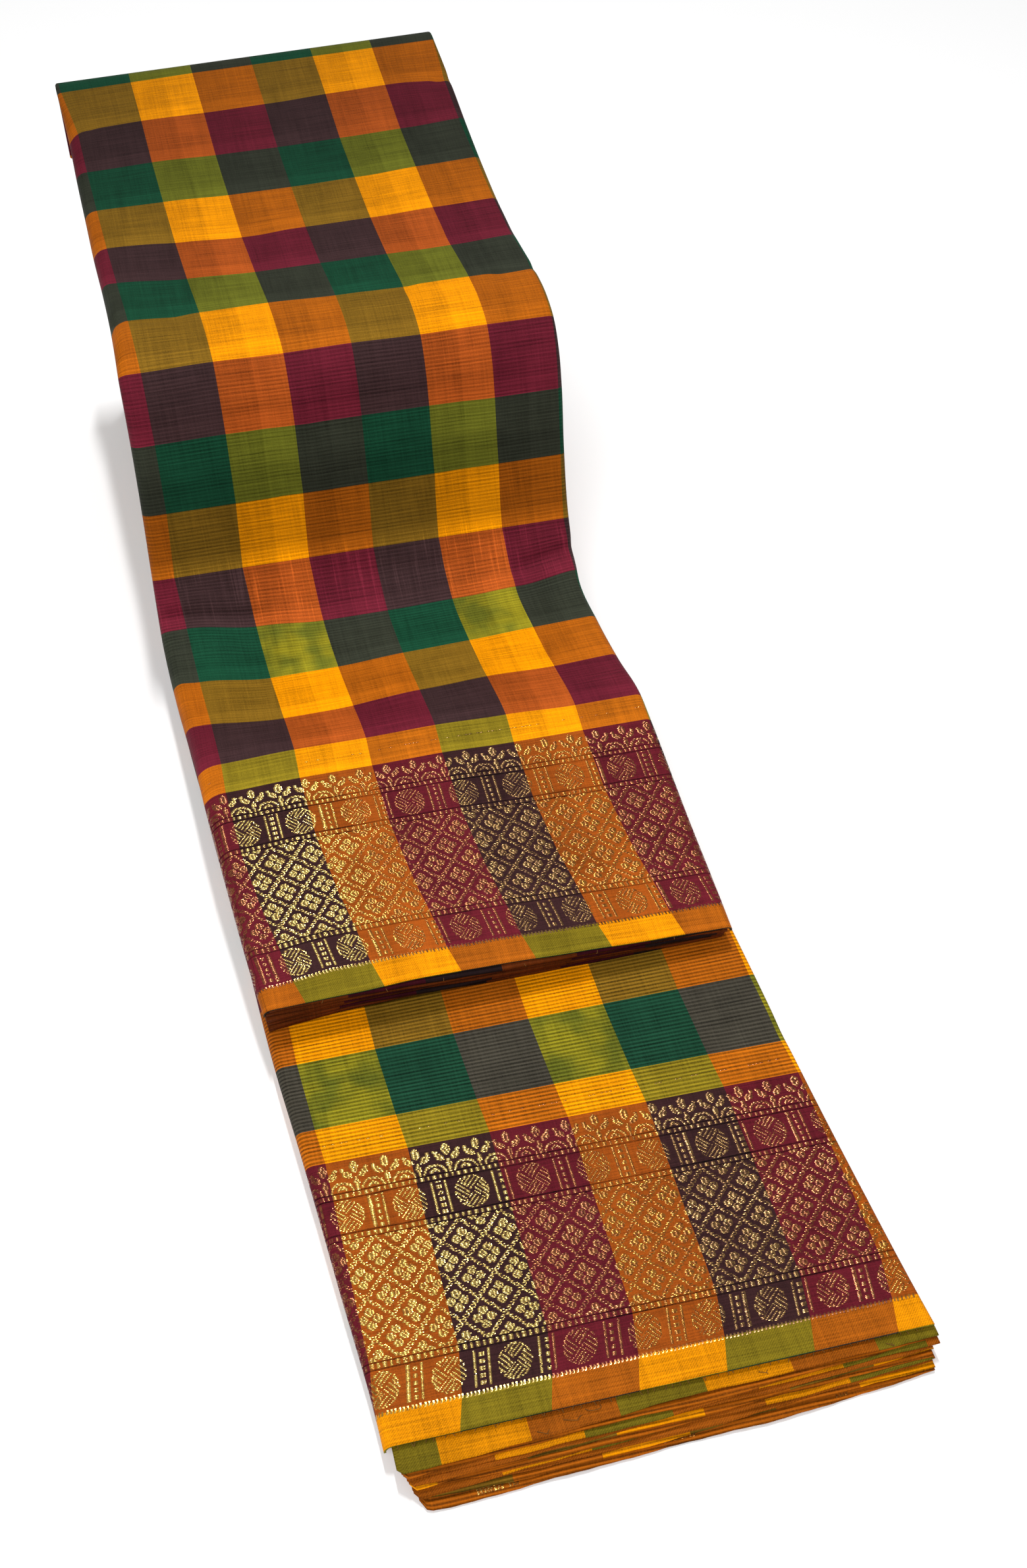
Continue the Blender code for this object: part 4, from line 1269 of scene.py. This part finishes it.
# The fan's plies from the top: how far each shows past the top cloth, how far its sides lie in, and the size
# of its left corner. level runs from 0, just below the top cloth, to 1 on the floor. The columns of some run
# the other way, and others show one column's colour all along. band is the part of the weave that shows.
FAN_PLIES = (
    FanPly(7.9, 4.9, 2.4, 2.0, 0.6, 1.5, 0.0, 0.215, 1, SELVEDGE_BAND, 0.5),
    FanPly(9.0, 6.4, 3.4, 3.2, 0.9, 2, 0.16, 2.5, 0, 1, 0.35),
    FanPly(10.3, 7.5, 4.4, 3.6, 0.6, 2, 0.27, 3.357, -1, SELVEDGE_BAND, 0.5),
    FanPly(11.0, 8.5, 5.0, 4.4, 3.0, 2, 0.37, 2.4, 0, SELVEDGE_BAND, 0.35),
    FanPly(12.0, 9.3, 5.9, 5.0, 2.6, 2, 0.47, 1.3, 1, 1, 0.35),
    FanPly(12.7, 10.3, 6.9, 4.8, 3.4, 2.5, 0.57, 2.6, 0, 1, 0.4),
    FanPly(13.4, 11.0, 7.7, 5.4, 3.0, 2.5, 0.67, 0.4, -1, SELVEDGE_BAND, 0.35),
    FanPly(14.2, 12.2, 8.6, 5.6, 3.6, 2.5, 0.77, 2.5, 0, SELVEDGE_BAND, 0.4),
    FanPly(14.9, 13.2, 9.4, 6.2, 3.4, 3, 0.86, 1.5, -1, 1, 0.35),
    FanPly(16.9, 15.2, 10.4, 6.8, 3.6, 3.5, 1.0, 2.5, 0, 1, 0.5),
)
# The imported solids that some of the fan's plies stand for
FAN_NODES = {0: "lower_ply_2", 2: "lower_ply_3", 5: "lower_ply_4", 7: "lower_ply_5", 9: "lower_ply_6"}


def upper_ply(number, ply, deep, first_column, way, *replaced):
    """A ply below the upper lap's front edge. deep is how far down it lies, as a share of the lap's depth."""
    share = steps(0, 1, 0.02)
    end = UPPER.length - ply.short + ply.wave * np.sin(7.5 * share + 1.9 * number)
    end = end + frayed(180 * share, number, 0.25)
    # at the left corner each ply reaches further than the one above it
    end = end + 0.34 * number * np.clip(1 - share / 0.22, 0, 1) ** 1.5
    begin = UPPER.length - STEP_BEGIN
    rows = share_steps(0.9, 0.1, 0.025)
    along = begin + rows[:, None] * (end - begin)
    left, right = UPPER.edges(along)
    left, right = left + 1.4 + ply.left_in, right - 1.4 - ply.right_in
    x = left + share * (right - left)
    lowest = UPPER.depth_of(x, along, STEP_FLOOR) - STEP_THICK
    points = world(x, *UPPER.below(x, along, 1.0 + deep * (lowest - 1.0)))
    columns = first_column + way * x / COLUMN_WIDTH
    name = f"step_ply_{number}"
    # these plies take the painted-shade copy of the checks
    return ply_sheet(name, points, columns, x, along, (2.2, 2.8), SHADED_CHECKS, STEP_THICK, *replaced)


UPPER_NODES = ("upper_ply_2", "upper_ply_3", "upper_ply_4", "upper_ply_5")
for number, ply in enumerate(UPPER_PLIES):
    deep = number / (len(UPPER_PLIES) - 1)
    replaced = UPPER_NODES[number : number + 1]
    first_column, way = ((1.02 + 0.03 * number, 1), (1.5, 0))[number % 2]
    sheet = upper_ply(number + 2, ply, deep, first_column, way, *replaced)
    below = "lower_cloth" if number == len(UPPER_PLIES) - 1 else f"step_ply_{number + 3}"
    declare_sheet(sheet, *STEP_SHEET, [below])


def fan_surface(number, fan, share, row, lift=0.0):
    """Where places on a ply of the fan are: share goes across it, and row from its rear to its front edge."""
    # the reach follows a curve through its left, middle and right
    rise = 4 * fan.middle - 3 * fan.left - fan.right
    bend = 2 * (fan.left + fan.right - 2 * fan.middle)
    reach = fan.left + share * rise + share**2 * bend
    reach = reach + 0.5 * np.sin(9 * share + 2.2 * number) + frayed(190 * share, number, 0.3)
    along = LOWER.length - FAN_BEGIN + row * (FAN_BEGIN + reach)
    left, right = LOWER.edges(along)
    left, right = left + 0.6 + fan.left_in, right - 0.6 - fan.right_in
    x = left + share * (right - left)
    ahead, height = LOWER.below(x, along, 0.0)
    # the left corner is rounded
    from_left = np.clip(x - left, 0, fan.corner)
    ahead = ahead - (fan.corner - np.sqrt(fan.corner**2 - (fan.corner - from_left) ** 2)) * row
    top = height - 2.2
    level = top + (LOWEST_PLY - top) * fan.level
    ripple = row**4 * (0.3 * np.sin(17 * share + 1.7 * number) + 0.12 * np.sin(41 * share + number))
    level = np.maximum(level + ripple, fan.thick + 0.02) + lift
    columns = fan.first_column + fan.way * x / COLUMN_WIDTH
    return world(x, ahead, level), columns, x, along


def fan_ply(number, fan, name, *replaced):
    """A ply of the fan below the lower lap's front edge."""
    share, row = np.broadcast_arrays(share_steps(0.06, 0.01, 0.0125), share_steps(0.8, 0.1, 0.02)[:, None])
    band = (fan.band + 0.1, fan.band + 0.9)
    return ply_sheet(name, *fan_surface(number, fan, share, row), band, INNER_CHECKS, fan.thick, *replaced)


FAN_NAMES = [f"fan_ply_{number + 2}" for number in range(len(FAN_PLIES))]
fan_sheets = []
for number, fan in enumerate(FAN_PLIES):
    replaced = (FAN_NODES[number],) if number in FAN_NODES else ()
    fan_sheets.append(fan_ply(number, fan, FAN_NAMES[number], *replaced))

# Ends of the gold border that show on the lowest plies: (ply, from, to) as shares of the way across
GOLD_PATCHES = (
    (9, 0.105, 0.125), (9, 0.13, 0.15), (9, 0.165, 0.18), (9, 0.46, 0.475), (9, 0.48, 0.5),
    (9, 0.51, 0.522), (9, 0.8, 0.82), (7, 0.83, 0.85), (7, 0.24, 0.26),
)


def gold_patch(number, ply, start, end):
    """A few short gold floats near the front edge of a ply of the fan."""
    draw = np.random.default_rng(60 + number)
    middles = []
    for row in np.arange(0.952, 0.982, 0.008):
        for share in np.arange(start, end, 0.0065):
            middles.append((share + 0.002 * draw.random(), row))
    sizes = np.tile([0.0045, 0.0055], (len(middles), 1))

    def surface(share, row, lift):
        points, _, _, _ = fan_surface(ply, FAN_PLIES[ply], share, row, lift)
        return points, np.full(share.shape, 1.5)

    name = f"ply_gold_{number + 1}"
    return join_floats(name, np.array(middles), sizes, surface, draw, "selvedge_plies")


patches = []
for number, (ply, start, end) in enumerate(GOLD_PATCHES):
    patches.append((ply, gold_patch(number, ply, start, end)))
for number, fan in enumerate(FAN_PLIES):
    below = FAN_NAMES[number + 1 : number + 2]
    on_it = [patch for ply, patch in patches if ply == number]
    reach = (fan.left + 4 * fan.middle + fan.right) / 6
    width = FAN_WIDTH - fan.left_in - fan.right_in
    declare_sheet(fan_sheets[number], width, FAN_BEGIN + reach, below, on_it)


def thread_look():
    look = Look("loose_cotton_thread")
    fuzz = look.noise(look.node("ShaderNodeTexCoord", output=3), 900.0)
    colour = look.mix(fuzz, paint(66, 42, 20), paint(128, 90, 42))
    look.set(Base_Color=colour, Roughness=0.85, Sheen_Weight=0.02, Specular_IOR_Level=0.1)
    return look.material


THREAD_RADIUS = 0.1
THREADS_IN = 4
# The longer loose threads on the fan's top ply: where each begins across it and how far forward it lies, as
# shares, and how far it leans to the side
LONG_THREADS = ((0.25, 0.96, 5.0), (0.37, 0.9, -4.0), (0.3, 0.93, 7.0), (0.66, 0.95, 4.0), (0.9, 0.97, 3.0))


def loose_threads():
    """Short loose ends of thread along the front edges of both laps, and a few longer ones."""
    draw = np.random.default_rng(77)
    line = bpy.data.curves.new("loose_threads", "CURVE")
    line.dimensions = "3D"
    line.bevel_depth = THREAD_RADIUS * MM
    line.bevel_resolution = 1

    def add(points):
        spline = line.splines.new("POLY")
        spline.points.add(len(points) - 1)
        for point, place in zip(spline.points, points):
            point.co = (*place, 1)

    t = np.linspace(0, 1, 4)
    for strip, count, longest in ((UPPER, 6, 0.7), (LOWER, 60, 1.4)):
        left, right = strip.edges(strip.length)
        for share in (np.arange(count) + 0.8 * draw.random(count)) / count:
            x = left + THREADS_IN + share * (right - left - 2 * THREADS_IN)
            reach = 0.5 + (longest - 0.5) * draw.random()
            along = strip.length - 0.5 + (0.5 + reach) * t
            lean = (draw.random() - 0.5) * 1.6
            add(strip.points(x + lean * t**2, along, -0.35 - 0.5 * t**2 * draw.random(), creased=False))
    t = np.linspace(0, 1, 9)
    for share, reach, lean in LONG_THREADS:
        way = share + lean / 180 * t + 0.006 * np.sin(5 * t)
        lift = 0.15 + 0.5 * np.sin(math.pi * t)
        points, _, _, _ = fan_surface(0, FAN_PLIES[0], way, reach + 0.03 * np.sin(3 * t), lift)
        add(points)
    add_object("loose_threads", line)
    bpy.ops.object.convert(target="MESH")
    piece = bpy.context.object
    bpy.ops.object.shade_smooth()
    piece.data.materials.append(thread_look())
    deselect()
    return finish_piece(piece, "selvedge_plies")


threads = loose_threads()
declare_sheet(upper_cloth, *UPPER_SHEET, ["upper_folds", "step_ply_2"], [upper_gold])
declare_sheet(lower_cloth, *LOWER_SHEET, ["lower_folds", "fan_ply_2"], [lower_gold, threads])

floor_look = Look("pale_floor")
floor_look.set(Base_Color=(0.97, 0.97, 0.97, 1), Roughness=0.9)
deselect()
bpy.ops.mesh.primitive_plane_add(size=8, location=(0, 0, -0.0003))
floor = bpy.context.object
floor.name = "floor"
bpy.ops.object.transform_apply(location=True, rotation=True, scale=True)
floor.data.materials.append(floor_look.material)
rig.stage(floor)

studio = bpy.data.worlds.new("soft_studio")
studio.use_nodes = True
background = studio.node_tree.nodes["Background"]
background.inputs[0].default_value = (1, 1, 1, 1)
background.inputs[1].default_value = 0.47
bpy.context.scene.world = studio


def soft_light(name, location, target, wide, high, power):
    bpy.ops.object.light_add(type="AREA", location=location)
    lamp = bpy.context.object
    lamp.name = name
    lamp.data.shape = "RECTANGLE"
    lamp.data.size = wide
    lamp.data.size_y = high
    lamp.data.energy = power
    lamp.rotation_euler = (Vector(target) - Vector(location)).to_track_quat("-Z", "Y").to_euler()


soft_light("key_light", (-0.3, -0.75, 1.3), (0, -0.1, 0.05), 0.45, 0.45, 9)
soft_light("gold_light", (0.1, 0.5, 2.0), (0.0, -0.15, 0.03), 0.05, 0.3, 20)

bpy.ops.object.camera_add(
    location=(-0.08449, -0.44798, 0.49795), rotation=(math.radians(41.25), 0, math.radians(-15.51))
)
camera = bpy.context.object
camera.name = "photo_camera"
camera.data.sensor_fit = "VERTICAL"
camera.data.sensor_height = 36
camera.data.lens = 36.30
camera.data.clip_start = 0.01
bpy.context.scene.camera = camera
bpy.context.scene.view_settings.view_transform = "Standard"

with open("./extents.json", "w") as sizes:
    json.dump({"cad": [list(map(float, corner)) for corner in CAD_BOX],
               "visual": [list(map(float, corner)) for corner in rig.bounds()]}, sizes)
